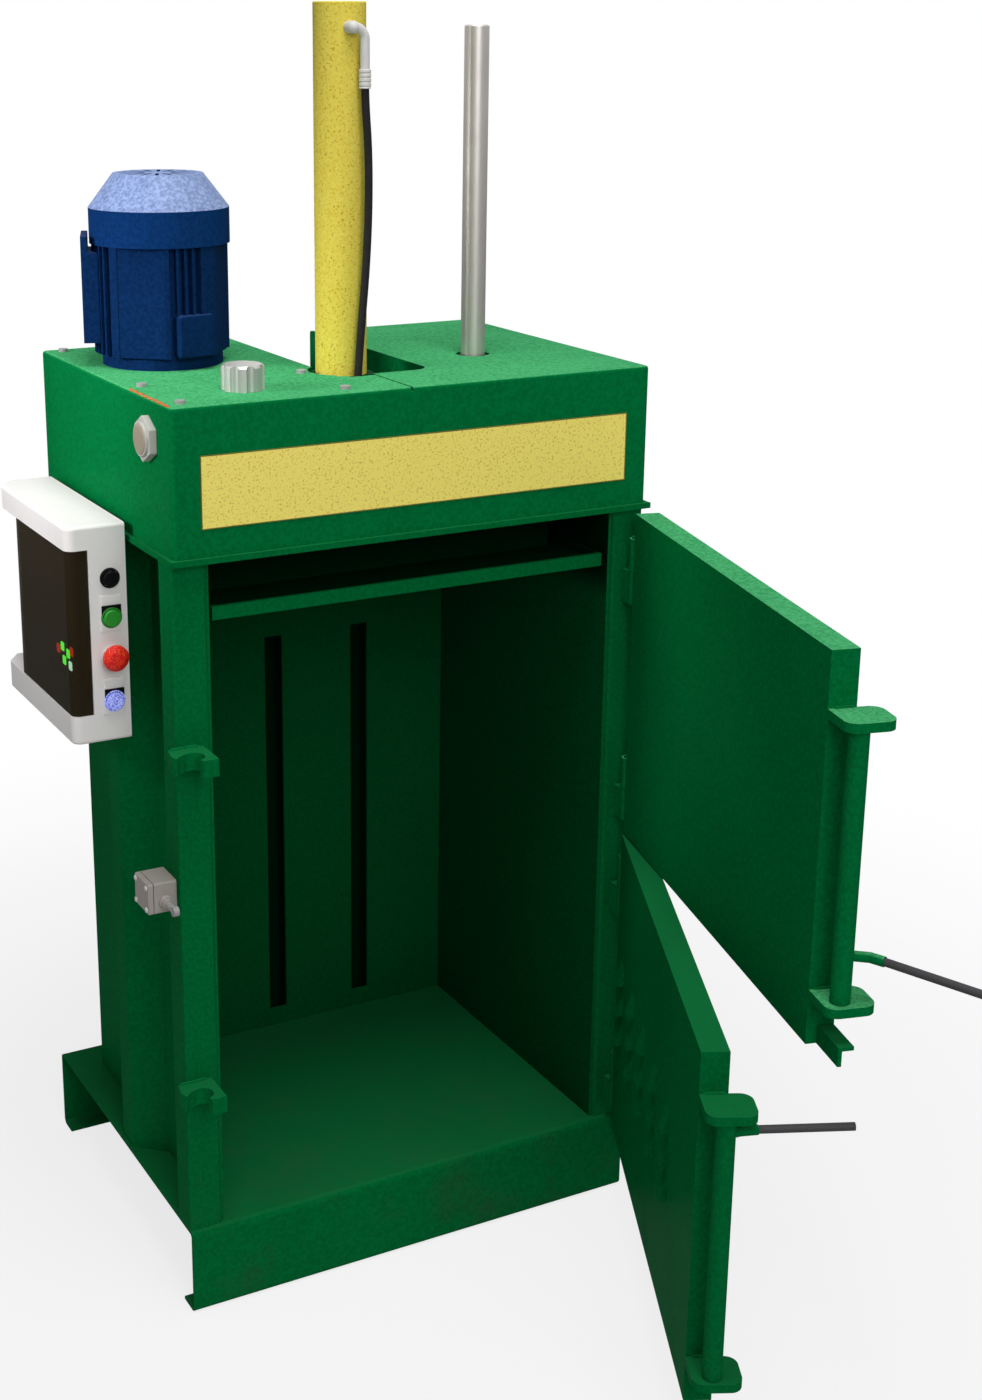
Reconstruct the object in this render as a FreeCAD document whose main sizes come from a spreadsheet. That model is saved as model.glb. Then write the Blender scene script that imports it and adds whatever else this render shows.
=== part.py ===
"""A small vertical recycling baler, with both chamber doors open and the press plate at the top.

Every length is in millimetres and every angle in degrees. The origin is the middle of the base's footprint
on the floor: +X points to the operator's right, -Y to the operator, +Z up. The doors are drawn shut, each about
its own hinge line, and are then turned open.
"""
import FreeCAD, Part
import math
import os
import Sketcher
from FreeCAD import Placement, Rotation, Vector

SIZES = {
    # the base: one folded sheet that is also the floor of the chamber
    "base_width": 744, "base_depth": 596, "base_height": 134, "base_sheet": 5, "base_bend": 10,
    "front_return": 40, "rear_return": 36, "rib_sheet": 8, "rib_height": 30, "rib_pitch": 190, "rib_inset": 90,
    # gaps: between parts that pass through each other, and between parts that turn or slide
    "fit_gap": 0.1, "running_gap": 0.05, "part_gap": 0.3,
    # the chamber: two square columns, side walls, a slotted back wall and hat-section stiffeners
    "frame_top": 1136, "column_side": 50, "column_wall": 4, "column_bend": 5, "column_setback": 8,
    "wall_sheet": 5, "wall_setback": 14, "wall_depth": 516, "back_setback": 520,
    "slot_width": 32, "slot_pitch": 158, "slot_bottom": 165, "slot_top": 846,
    "hat_sheet": 4, "hat_depth": 45, "hat_flat": 40, "hat_foot": 124, "hat_setback": 282,
    "back_hat_depth": 38, "back_hat_flat": 40, "back_hat_foot": 100, "slot_count": 3,
    # the head: a plate that lies on the walls, a folded housing on it and two cover plates on top
    "head_width": 740, "head_depth": 528, "head_top": 1346, "head_plate": 8, "head_lip": 6, "head_wall": 5,
    "head_bend": 7, "cover_plate": 6, "cover_round": 4.5, "seam_place": 352, "seam_gap": 3,
    "bay_left": 299, "bay_right": 446, "bay_front": 122, "bay_round": 24, "bay_clearance": 11.5,
    "notch_left": 312, "notch_front": 110,
    "plate_left": 39.5, "plate_width": 662, "plate_bottom": 1182, "plate_height": 99, "plate_sheet": 1.5,
    # the press cylinder, its rod and the guide rod beside it
    "cylinder_across": 327, "cylinder_back": 170, "cylinder_outer": 36.5, "cylinder_bore": 30,
    "cylinder_top": 1848, "cap_height": 12, "cap_edge": 1.5, "collar_height": 20, "collar_width": 8,
    "rod_radius": 22.5,
    "piston_height": 34, "piston_place": 1778, "gland_height": 36, "gland_drop": 8,
    "guide_across": 565, "guide_back": 210, "guide_radius": 18, "guide_top": 1817.5, "bush_wall": 4,
    "bush_flange": 32, "bush_rise": 6, "bush_drop": 3, "guide_opening": 25,
    # the press plate
    "platen_width": 620, "platen_setback": 20, "platen_depth": 492, "platen_bottom": 1050, "platen_lip": 19,
    "platen_plate": 8, "platen_edge": 6, "beam_top": 1112, "beam_depth": 116, "beam_sheet": 6, "beam_inset": 24,
    "socket_wall": 11, "socket_height": 10, "rear_beam_place": 400, "rear_beam_top": 1102,
    # doors and hinges
    "hinge_offset": 6, "hinge_setback": 14, "hinge_inset": 25, "door_start": 12, "door_reach": 679,
    "door_thickness": 36, "door_sheet": 3, "door_return": 18, "rib_width": 60,
    "upper_bottom": 634, "upper_top": 1135, "lower_bottom": 135, "lower_top": 631,
    "upper_angle": 75.3, "lower_angle": 64.4,
    "knuckle_radius": 9, "knuckle_height": 49, "knuckle_gap": 1, "pin_radius": 6, "pin_end": 3,
    "leaf_width": 16,
    "hinge_low": 20, "hinge_high": 40,
    # eccentric door locks
    "lug_reach": 56, "lug_depth": 64, "lug_height": 12, "lug_round": 16,
    "upper_lug_low": 695, "upper_lug_high": 1052, "lower_lug_low": 189, "lower_lug_high": 563,
    "journal_radius": 9, "journal_reach": 31.1, "journal_out": 29.5, "journal_overlap": 2,
    "bar_radius": 12.5, "eccentric": 9, "upper_bar_angle": 131, "lower_bar_angle": 159, "bar_clearance": 1,
    "hook_height": 25, "recess_radius": 14.8, "hook_front": 50, "hook_edge_gap": 1.5,
    "upper_hook_place": 855, "lower_hook_place": 350,
    "arm_radius": 6.5, "grip_radius": 5.2, "upper_lever_place": 766, "lower_lever_place": 543,
    # teeth on the lower door that keep the bale down
    "tooth_width": 24, "tooth_height": 35, "tooth_depth": 10, "tooth_columns": 5, "tooth_rows": 3,
    "tooth_pitch": 105, "tooth_row_pitch": 50, "tooth_start": 58, "tooth_top": 446,
    # oil tank and pump under the left cover
    "tank_left": 8, "tank_right": 272.5, "tank_front": 8, "tank_rear": 520, "tank_sheet": 3, "tank_rim": 32,
    "rim_sheet": 5, "screw_left": 26, "screw_right": 265, "screw_front": 30, "screw_middle": 171,
    "screw_rear": 504, "screw_radius": 4, "screw_head": 7, "screw_rise": 4.5, "screw_clearance": 0.2,
    "filler_across": 139.3, "filler_back": 87.1, "filler_radius": 29.4, "filler_height": 35, "neck_radius": 20,
    "neck_wall": 4, "neck_rise": 12, "neck_drop": 8, "flute_radius": 8, "flute_depth": 4, "flute_count": 8,
    "gauge_back": 78, "gauge_place": 1294, "gauge_across": 54, "gauge_rise": 10, "gauge_ring": 23,
    "gauge_ring_rise": 4, "gauge_lens": 17, "gauge_stem": 14,
    # the electric motor that stands on the left cover
    "motor_across": 128, "motor_back": 353.1, "motor_radius": 98, "motor_core": 88.5, "motor_height": 172.5,
    "foot_height": 18, "fin_width": 6.2, "fin_count": 50, "fin_phase": 2.7, "motor_pad_edge": 96,
    "boss_low": 19, "boss_high": 79, "boss_rise": 4.5, "boss_edge": 4, "cowl_radius": 100.4, "cowl_wall": 2,
    "cowl_ring": 50, "cowl_height": 97.2, "cowl_top": 64.2, "grille_start": 20, "grille_end": 56.2,
    "grille_width": 5, "grille_count": 16, "shield_height": 8, "shaft_radius": 12,
    "coupling_radius": 24, "coupling_height": 34, "coupling_drop": 6, "bell_radius": 46, "bell_wall": 7,
    "bell_height": 56,
    "fan_radius": 84, "fan_gap": 6, "fan_hub": 22, "fan_height": 22, "fan_blades": 7, "blade_sheet": 2.5,
    "box_reach": 112, "box_width": 90, "box_low": 35, "box_high": 185, "box_angle": 160, "box_lid": 9,
    "box_shoulder": 162.5,
    "pump_side": 78, "pump_height": 60, "pump_shaft": 9, "pump_shaft_end": 20, "filter_radius": 24,
    "filter_height": 46, "pipe_radius": 10, "pipe_height": 8,
    # control enclosure on the left of the head
    "case_gap": 12, "case_width": 85, "case_front": 154, "case_rear": 477, "case_short_rear": 447,
    "case_bottom": 851.5, "case_top": 1164.6, "case_round": 14, "window_bottom": 893, "window_top": 1131,
    "window_front": 31, "window_rear": 384, "window_sheet": 3, "window_setback": 1.5, "window_gap": 0.6,
    "barrel_radius": 2.5, "window_pin": 1.8,
    "bracket_front": 262, "bracket_rear": 302, "bracket_low": 871.5, "bracket_high": 1096,
    "case_chamfer": 20, "case_edge": 5,
    "button_place": 24, "button_rise": 9, "button_bore": 16, "button_gap": 0.4, "button_depth": 8,
    "button_edge": 1.5, "bezel_wall": 3, "bezel_rise": 3,
    # limit switch on the left column
    "switch_width": 42.5, "switch_front": 22, "switch_depth": 53, "switch_bottom": 640, "switch_height": 49,
    "switch_edge": 2.5,
    "plunger_inset": 17, "plunger_place": 655, "plunger_radius": 5, "plunger_bore": 16, "plunger_tail": 6,
    "guide_length": 12, "roller_radius": 7,
    "roller_width": 8, "striker_out": 14, "striker_sheet": 5, "striker_height": 25, "striker_shelf": 20,
    "striker_reach": 60,
    # pressure hose beside the cylinder
    "hose_radius": 5.5, "hose_back": 121.75, "elbow_across": 324, "elbow_place": 1814.6, "elbow_radius": 6.5,
    "elbow_boss": 8.5, "elbow_bend": 16, "hose_bottom": 1200, "block_width": 24,
    "block_depth": 20, "block_height": 36, "ferrule_radius": 8,
}

document = FreeCAD.newDocument("RecyclingBaler")
sheet = document.addObject("Spreadsheet::Sheet", "Sizes")
for row, (alias, number) in enumerate(SIZES.items(), start=1):
    sheet.set("A%d" % row, alias)
    sheet.set("B%d" % row, str(number))
    sheet.setAlias("B%d" % row, alias)
document.recompute()


# ---------------------------------------------------------------------------------------------------------
# Lengths that know both their value and the sheet formula that gives it
# ---------------------------------------------------------------------------------------------------------
class Length:
    """A number with the formula, in the sheet's names, that it comes from."""

    def __init__(self, value, formula=None):
        self.value = float(value)
        self.formula = formula or repr(float(value))

    def __add__(self, other):
        other = length(other)
        return Length(self.value + other.value, "(%s + %s)" % (self.formula, other.formula))

    def __sub__(self, other):
        other = length(other)
        return Length(self.value - other.value, "(%s - %s)" % (self.formula, other.formula))

    def __mul__(self, other):
        other = length(other)
        return Length(self.value * other.value, "(%s * %s)" % (self.formula, other.formula))

    def __truediv__(self, other):
        other = length(other)
        return Length(self.value / other.value, "(%s / %s)" % (self.formula, other.formula))

    def __neg__(self):
        return Length(-self.value, "(0 - %s)" % self.formula)

    __radd__ = __add__
    __rmul__ = __mul__

    def __rsub__(self, other):
        return length(other) - self

    def root(self):
        return Length(math.sqrt(self.value), "sqrt(%s)" % self.formula)


def length(number):
    return number if isinstance(number, Length) else Length(number)


class Sizes:
    """The sheet's cells as attributes."""


d = Sizes()
for alias, number in SIZES.items():
    setattr(d, alias, Length(number, "Sizes." + alias))


def bind(thing, name, amount):
    """Tie one property of an object to the sheet."""
    thing.setExpression(name, length(amount).formula)


# ---------------------------------------------------------------------------------------------------------
# Bodies made of sketches
# ---------------------------------------------------------------------------------------------------------
def new_body(label):
    body = document.addObject("PartDesign::Body", label)
    body.Label = label
    return body


def new_sketch(body, plane, place=0):
    """A sketch on one of the body's own planes, moved along the plane's normal.

    XY_Plane looks along Z. XZ_Plane has X and Z as its axes and its normal is -Y. YZ_Plane has Y and Z as its
    axes and its normal is +X.
    """
    sketch = body.newObject("Sketcher::SketchObject", body.Name + "_sketch")
    support = next(item for item in body.Origin.OriginFeatures if item.Role == plane)
    sketch.AttachmentSupport = [(support, "")]
    sketch.MapMode = "FlatFace"
    bind(sketch, "AttachmentOffset.Base.z", place)
    return sketch


def place_point(sketch, piece, end, x, y):
    """Hold one end of a line, or a circle's middle, at a distance from the sketch's origin."""
    for kind, axis, amount in (("DistanceX", -2, length(x)), ("DistanceY", -1, length(y))):
        if abs(amount.value) < 1e-9:
            sketch.addConstraint(Sketcher.Constraint("PointOnObject", piece, end, axis))
            continue
        number = sketch.addConstraint(Sketcher.Constraint(kind, -1, 1, piece, end, amount.value))
        sketch.setExpression("Constraints[%d]" % number, amount.formula)


def polygon(sketch, corners):
    """A closed outline of straight lines through the corners."""
    points = [Vector(length(x).value, length(y).value, 0) for x, y in corners]
    first = sketch.GeometryCount
    for index, start in enumerate(points):
        finish = points[(index + 1) % len(points)]
        sketch.addGeometry(Part.LineSegment(start, finish), False)
    for index, (x, y) in enumerate(corners):
        after = first + (index + 1) % len(corners)
        sketch.addConstraint(Sketcher.Constraint("Coincident", first + index, 2, after, 1))
        place_point(sketch, first + index, 1, x, y)


def circle(sketch, x, y, radius):
    middle = Vector(length(x).value, length(y).value, 0)
    piece = sketch.addGeometry(Part.Circle(middle, Vector(0, 0, 1), length(radius).value), False)
    place_point(sketch, piece, 3, x, y)
    number = sketch.addConstraint(Sketcher.Constraint("Radius", piece, length(radius).value))
    sketch.setExpression("Constraints[%d]" % number, length(radius).formula)


def rectangle(x0, y0, x1, y1):
    return [(x0, y0), (x1, y0), (x1, y1), (x0, y1)]


def pad(body, sketch, amount, backwards=False):
    feature = body.newObject("PartDesign::Pad", body.Name + "_pad")
    feature.Profile = sketch
    feature.Reversed = backwards
    bind(feature, "Length", amount)
    document.recompute()
    return feature


def pocket(body, sketch, amount, along_normal=False):
    """Cut the sketch out of the body and make sure that something was cut."""
    before = body.Shape.Volume
    feature = body.newObject("PartDesign::Pocket", body.Name + "_pocket")
    feature.Profile = sketch
    feature.Reversed = along_normal
    bind(feature, "Length", amount)
    document.recompute()
    if body.Shape.Volume >= before - 1e-6:
        raise RuntimeError("the pocket %s cuts nothing" % feature.Name)
    return feature


def turned(body, profile, x, y, z=0):
    """A solid of revolution: the profile's corners are (radius, height) about a vertical axis at x, y."""
    sketch = new_sketch(body, "XZ_Plane")
    polygon(sketch, profile)
    feature = body.newObject("PartDesign::Revolution", body.Name + "_turn")
    feature.Profile = sketch
    feature.ReferenceAxis = (sketch, ["V_Axis"])
    feature.Angle = 360
    set_place(body, x, y, z)
    document.recompute()
    return feature


def set_place(thing, x, y, z=0):
    for axis, amount in zip("xyz", (x, y, z)):
        bind(thing, "Placement.Base." + axis, amount)


def edges_where(shape, chosen):
    """The names of the edges whose middle, direction and ends the test accepts."""
    names = []
    for index, edge in enumerate(shape.Edges, start=1):
        middle = edge.valueAt((edge.FirstParameter + edge.LastParameter) / 2)
        if chosen(edge, middle):
            names.append("Edge%d" % index)
    return names


def upright_at(points):
    """A test for the straight vertical edges that stand at the given places."""
    places = [(length(x).value, length(y).value) for x, y in points]

    def chosen(edge, middle):
        ends = [vertex.Point for vertex in edge.Vertexes]
        upright = len(ends) == 2 and abs(ends[0].x - ends[1].x) + abs(ends[0].y - ends[1].y) < 1e-4
        return upright and any(abs(middle.x - x) + abs(middle.y - y) < 0.01 for x, y in places)
    return chosen


def round_edges(body, radius, chosen):
    feature = body.newObject("PartDesign::Fillet", body.Name + "_round")
    feature.Base = (feature.BaseFeature, edges_where(body.Shape, chosen))
    bind(feature, "Radius", radius)
    document.recompute()
    return feature


# ---------------------------------------------------------------------------------------------------------
# Primitives and what is made of them
# ---------------------------------------------------------------------------------------------------------
def block(label, x0, y0, z0, x1, y1, z1):
    """A box between two corners."""
    piece = document.addObject("Part::Box", label)
    piece.Label = label
    bind(piece, "Length", length(x1) - x0)
    bind(piece, "Width", length(y1) - y0)
    bind(piece, "Height", length(z1) - z0)
    set_place(piece, x0, y0, z0)
    return piece


def rod(label, x, y, z, radius, height):
    """An upright round bar."""
    piece = document.addObject("Part::Cylinder", label)
    piece.Label = label
    bind(piece, "Radius", radius)
    bind(piece, "Height", height)
    set_place(piece, x, y, z)
    return piece


def level_rod(label, x, y, z, radius, reach, direction):
    """A round bar that lies along a horizontal direction."""
    piece = rod(label, x, y, z, radius, reach)
    piece.Placement = Placement(piece.Placement.Base, Rotation(Vector(0, 0, 1), direction))
    set_place(piece, x, y, z)
    return piece


def cut(label, base, tools):
    result = base
    for index, tool in enumerate(tools):
        feature = document.addObject("Part::Cut", "%s_cut%d" % (label, index))
        feature.Base = result
        feature.Tool = tool
        result = feature
    result.Label = label
    document.recompute()
    return result


def fuse(label, pieces):
    feature = document.addObject("Part::MultiFuse", label)
    feature.Shapes = pieces
    feature.Refine = True
    feature.Label = label
    document.recompute()
    return feature


def group(label, pieces):
    """Several separate solids that share one node."""
    feature = document.addObject("Part::Compound", label)
    feature.Links = pieces
    feature.Label = label
    document.recompute()
    return feature


def smooth(label, base, radius, chosen):
    """Round the chosen edges of a solid made of primitives."""
    document.recompute()
    feature = document.addObject("Part::Fillet", label)
    feature.Base = base
    names = edges_where(base.Shape, chosen)
    amount = length(radius).value
    feature.Edges = [(int(name[4:]), amount, amount) for name in names]
    feature.Label = label
    document.recompute()
    return feature


def free_form(label, shape, place=None):
    """A shape worked out with lines, arcs and sweeps."""
    feature = document.addObject("Part::Feature", label)
    feature.Label = label
    feature.Shape = shape
    if place is not None:
        feature.Placement = place
    return feature


parts = []


def keep(piece):
    """Put one sub-part on the list of what is written out."""
    parts.append(piece)
    return piece


# Lines that many pieces share
left = -d.base_width / 2
right = d.base_width / 2
front = -d.base_depth / 2
rear = d.base_depth / 2
head_left = -d.head_width / 2
head_right = d.head_width / 2
head_rear = front + d.head_depth
floor_top = d.base_height
shell_bottom = d.frame_top + d.head_plate
shell_top = d.head_top - d.cover_plate
wall_left = left + d.column_side
wall_right = right - d.column_side
cylinder_x = head_left + d.cylinder_across
cylinder_y = front + d.cylinder_back
guide_x = head_left + d.guide_across
guide_y = front + d.guide_back
motor_x = head_left + d.motor_across
motor_y = front + d.motor_back
hinge_x = right - d.hinge_inset
hinge_y = front - d.hinge_setback
column_front = front + d.column_setback


# ---------------------------------------------------------------------------------------------------------
# Base
# ---------------------------------------------------------------------------------------------------------
def make_base():
    """A channel with its back up and inward feet, folded from one sheet."""
    body = new_body("base_frame")
    sketch = new_sketch(body, "YZ_Plane", left)
    sheet_z = d.base_height - d.base_sheet
    polygon(sketch, [
        (front, 0), (front + d.front_return, 0), (front + d.front_return, d.base_sheet),
        (front + d.base_sheet, d.base_sheet), (front + d.base_sheet, sheet_z),
        (rear - d.base_sheet, sheet_z), (rear - d.base_sheet, d.base_sheet),
        (rear - d.rear_return, d.base_sheet), (rear - d.rear_return, 0), (rear, 0),
        (rear, d.base_height), (front, d.base_height)])
    pad(body, sketch, d.base_width)
    outer = [(y.value, z) for y in (front, rear) for z in (0, SIZES["base_height"])]
    inner = [(y.value, z.value) for y in (front + d.base_sheet, rear - d.base_sheet)
             for z in (d.base_sheet, sheet_z)]

    def along_x(places):
        return lambda edge, middle: any(
            abs(middle.y - y) + abs(middle.z - z) < 0.01 for y, z in places)
    round_edges(body, d.base_bend, along_x(outer))
    round_edges(body, d.base_bend - d.base_sheet, along_x(inner))
    return body


def make_floor_ribs():
    ribs = []
    for index, side in enumerate((-1, 1)):
        middle = side * d.rib_pitch / 2
        ribs.append(block("floor_rib_%d" % index, left + d.rib_inset, middle - d.rib_sheet / 2,
                          d.base_height - d.base_sheet - d.rib_height, right - d.rib_inset,
                          middle + d.rib_sheet / 2, d.base_height - d.base_sheet))
    return group("floor_ribs", ribs)


# ---------------------------------------------------------------------------------------------------------
# Chamber
# ---------------------------------------------------------------------------------------------------------
def make_column(label, x0):
    """A square tube."""
    body = new_body(label)
    y0 = column_front
    x1 = x0 + d.column_side
    y1 = y0 + d.column_side
    height = d.frame_top - d.base_height
    pad(body, outline_sketch(body, floor_top, rectangle(x0, y0, x1, y1)), height)
    round_edges(body, d.column_bend, upright_at(rectangle(x0, y0, x1, y1)))
    bore = rectangle(x0 + d.column_wall, y0 + d.column_wall, x1 - d.column_wall, y1 - d.column_wall)
    pocket(body, outline_sketch(body, floor_top, bore), height, along_normal=True)
    return body


def outline_sketch(body, place, corners):
    sketch = new_sketch(body, "XY_Plane", place)
    polygon(sketch, corners)
    return sketch


def hat_profile(depth, flat, foot, thickness):
    """Corners of a hat section: the brim ends lie on the line 0 and the crown stands off by the depth."""
    slope = (foot - flat) / (2 * depth)
    step = thickness * (slope * slope + 1).root()
    inner_foot = foot / 2 - step
    inner_flat = inner_foot - slope * (depth - thickness)
    return [(-foot / 2, 0), (-flat / 2, depth), (flat / 2, depth), (foot / 2, 0), (inner_foot, 0),
            (inner_flat, depth - thickness), (-inner_flat, depth - thickness), (-inner_foot, 0)]


def make_hat(label, x, y, out, profile):
    """An upright hat section with its feet at x, y and its crown towards out: -X, +X or +Y."""
    body = new_body(label)
    corners = []
    for across, depth in profile:
        corners.append({"-X": (x - depth, y + across), "+X": (x + depth, y - across),
                        "+Y": (x + across, y + depth)}[out])
    pad(body, outline_sketch(body, floor_top, corners), d.frame_top - d.base_height)
    return body


def make_back_wall():
    """A sheet with three upright slots for the strapping."""
    body = new_body("back_wall")
    face = front + d.back_setback
    sketch = new_sketch(body, "XZ_Plane", -(face + d.wall_sheet))
    polygon(sketch, rectangle(wall_left + d.wall_sheet, d.base_height, wall_right - d.wall_sheet, d.frame_top))
    pad(body, sketch, d.wall_sheet)
    slot = new_sketch(body, "XZ_Plane", -(face + d.wall_sheet))
    middle = -d.slot_pitch
    polygon(slot, rectangle(middle - d.slot_width / 2, d.slot_bottom, middle + d.slot_width / 2, d.slot_top))
    opening = pocket(body, slot, d.wall_sheet, along_normal=True)
    row_of_slots = body.newObject("PartDesign::LinearPattern", "back_wall_slots")
    row_of_slots.Originals = [opening]
    row_of_slots.Direction = (slot, ["H_Axis"])
    bind(row_of_slots, "Length", 2 * d.slot_pitch)
    row_of_slots.Occurrences = SIZES["slot_count"]
    body.Tip = row_of_slots
    return body


# ---------------------------------------------------------------------------------------------------------
# Head
# ---------------------------------------------------------------------------------------------------------
bay_left = head_left + d.bay_left
bay_right = head_left + d.bay_right
bay_front = front + d.bay_front
notch_left = head_left + d.notch_left
notch_front = front + d.notch_front
seam_x = head_left + d.seam_place
ring_radius = d.cylinder_outer + d.bay_clearance
head_corners = rectangle(head_left, front, head_right, head_rear)


def make_head_plate():
    body = new_body("head_plate")
    lip = d.head_lip
    corners = rectangle(head_left - lip, front - lip, head_right + lip, head_rear + lip)
    sketch = outline_sketch(body, d.frame_top, corners)
    circle(sketch, cylinder_x, cylinder_y, d.cylinder_bore + d.part_gap)
    circle(sketch, guide_x, guide_y, d.guide_radius + d.bush_wall + d.fit_gap)
    pad(body, sketch, d.head_plate)
    return body


def shell_outline(inset):
    """The housing's plan, with the bay that opens to the rear, drawn in by the inset."""
    return [(head_left + inset, front + inset), (head_right - inset, front + inset),
            (head_right - inset, head_rear - inset), (bay_right + inset, head_rear - inset),
            (bay_right + inset, bay_front - inset), (seam_x + inset, bay_front - inset),
            (seam_x + inset, notch_front - inset), (notch_left - inset, notch_front - inset),
            (notch_left - inset, bay_front - inset), (bay_left - inset, bay_front - inset),
            (bay_left - inset, head_rear - inset), (head_left + inset, head_rear - inset)]


def make_head_shell():
    """Upright walls round both boxes of the head and the bay that the cylinder stands in."""
    height = shell_top - shell_bottom
    outside = new_body("head_shell_outside")
    pad(outside, outline_sketch(outside, shell_bottom, shell_outline(0)), height)
    ring = new_sketch(outside, "XY_Plane", shell_bottom)
    circle(ring, cylinder_x, cylinder_y, ring_radius)
    pocket(outside, ring, height, along_normal=True)
    round_edges(outside, d.head_bend, upright_at(head_corners))
    round_edges(outside, d.bay_round, upright_at([(bay_right, bay_front)]))
    inside = new_body("head_shell_inside")
    pad(inside, outline_sketch(inside, shell_bottom, shell_outline(d.head_wall)), height)
    ring = new_sketch(inside, "XY_Plane", shell_bottom)
    circle(ring, cylinder_x, cylinder_y, ring_radius + d.head_wall)
    pocket(inside, ring, height, along_normal=True)
    round_edges(inside, d.bay_round + d.head_wall,
                upright_at([(bay_right + d.head_wall, bay_front - d.head_wall)]))
    stem = level_rod("head_shell_gauge_hole", head_left - 1, front + d.gauge_back, d.gauge_place,
                     d.gauge_stem + d.screw_clearance, d.head_wall * 2, Vector(1, 0, 0))
    return cut("head_shell", outside, [inside, stem])


def outer_top_edge(edge, middle):
    """A test for the top edges along the head's outer sides."""
    level = all(abs(vertex.Point.z - SIZES["head_top"]) < 1e-4 for vertex in edge.Vertexes)
    margin = SIZES["head_bend"] / 2
    return level and (middle.y < front.value + margin or middle.y > head_rear.value - margin
                      or abs(middle.x) > head_right.value - margin)


def make_cover(label, corners, holes):
    """A cover plate, rounded at the head's corners and along its outer edges, with its round holes."""
    body = new_body(label)
    pad(body, outline_sketch(body, shell_top, corners), d.cover_plate)
    round_edges(body, d.head_bend, upright_at(head_corners))
    round_edges(body, d.cover_round, outer_top_edge)
    opening = new_sketch(body, "XY_Plane", shell_top)
    for x, y, radius in holes:
        circle(opening, x, y, radius)
    pocket(body, opening, d.cover_plate, along_normal=True)
    return body


screw_places = [(head_left + across, front + back)
                for across in (d.screw_left, d.screw_right)
                for back in (d.screw_front, d.screw_middle, d.screw_rear)]
filler_x = head_left + d.filler_across
filler_y = front + d.filler_back


def make_tank_cover():
    seam = seam_x - d.seam_gap / 2
    corners = [(head_left, front), (seam, front), (seam, notch_front), (notch_left, notch_front),
               (notch_left, bay_front), (bay_left, bay_front), (bay_left, head_rear), (head_left, head_rear)]
    holes = [(x, y, d.screw_radius + d.screw_clearance) for x, y in screw_places]
    holes.append((filler_x, filler_y, d.neck_radius + d.screw_clearance))
    holes.append((motor_x, motor_y, d.coupling_radius + 2))
    cover = make_cover("tank_cover", corners, holes)
    ring = new_sketch(cover, "XY_Plane", shell_top)
    circle(ring, cylinder_x, cylinder_y, ring_radius)
    pocket(cover, ring, d.cover_plate, along_normal=True)
    return cover


def make_right_cover():
    seam = seam_x + d.seam_gap / 2
    corners = [(seam, front), (head_right, front), (head_right, head_rear), (bay_right, head_rear),
               (bay_right, bay_front), (seam, bay_front)]
    cover = make_cover("right_cover", corners, [(guide_x, guide_y, d.guide_opening)])
    round_edges(cover, d.bay_round, upright_at([(bay_right, bay_front)]))
    return cover


def make_cover_screws():
    screws = []
    shank = d.cover_plate + d.rim_sheet
    for index, (x, y) in enumerate(screw_places):
        head = rod("screw_head_%d" % index, x, y, d.head_top, d.screw_head, d.screw_rise)
        stem = rod("screw_stem_%d" % index, x, y, d.head_top - shank, d.screw_radius, shank)
        screws.append(fuse("screw_%d" % index, [head, stem]))
    return group("cover_screws", screws)


def make_name_plate():
    x0 = head_left + d.plate_left
    return block("name_plate", x0, front - d.plate_sheet, d.plate_bottom, x0 + d.plate_width, front,
                 d.plate_bottom + d.plate_height)


# ---------------------------------------------------------------------------------------------------------
# Cylinder, rods and press plate
# ---------------------------------------------------------------------------------------------------------
def make_cylinder():
    tube_top = d.cylinder_top - d.cap_height
    collar = d.cylinder_outer + d.collar_width
    tube = new_body("cylinder_tube")
    turned(tube, [(d.cylinder_bore, shell_bottom), (collar, shell_bottom),
                  (collar, shell_bottom + d.collar_height), (d.cylinder_outer, shell_bottom + d.collar_height),
                  (d.cylinder_outer, tube_top), (d.cylinder_bore, tube_top)], cylinder_x, cylinder_y)
    cap = new_body("cylinder_cap")
    spigot = d.cylinder_bore - d.fit_gap
    turned(cap, [(0, tube_top - d.cap_height), (spigot, tube_top - d.cap_height), (spigot, tube_top),
                 (d.cylinder_outer, tube_top), (d.cylinder_outer, d.cylinder_top - d.cap_edge),
                 (d.cylinder_outer - d.cap_edge, d.cylinder_top), (0, d.cylinder_top)], cylinder_x, cylinder_y)
    gland = new_body("cylinder_gland")
    low = d.frame_top - d.gland_drop
    turned(gland, [(d.rod_radius + d.running_gap, low), (spigot, low), (spigot, low + d.gland_height),
                   (d.rod_radius + d.running_gap, low + d.gland_height)], cylinder_x, cylinder_y)
    return [tube, cap, gland]


def make_guide_bush():
    body = new_body("guide_bush")
    bore = d.guide_radius + d.running_gap
    outer = d.guide_radius + d.bush_wall
    top = d.head_top - d.bush_drop
    shoulder = shell_bottom + d.bush_rise
    turned(body, [(bore, d.frame_top), (outer, d.frame_top), (outer, shell_bottom),
                  (d.bush_flange, shell_bottom), (d.bush_flange, shoulder), (outer, shoulder), (outer, top),
                  (bore, top)], guide_x, guide_y)
    return body


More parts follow.
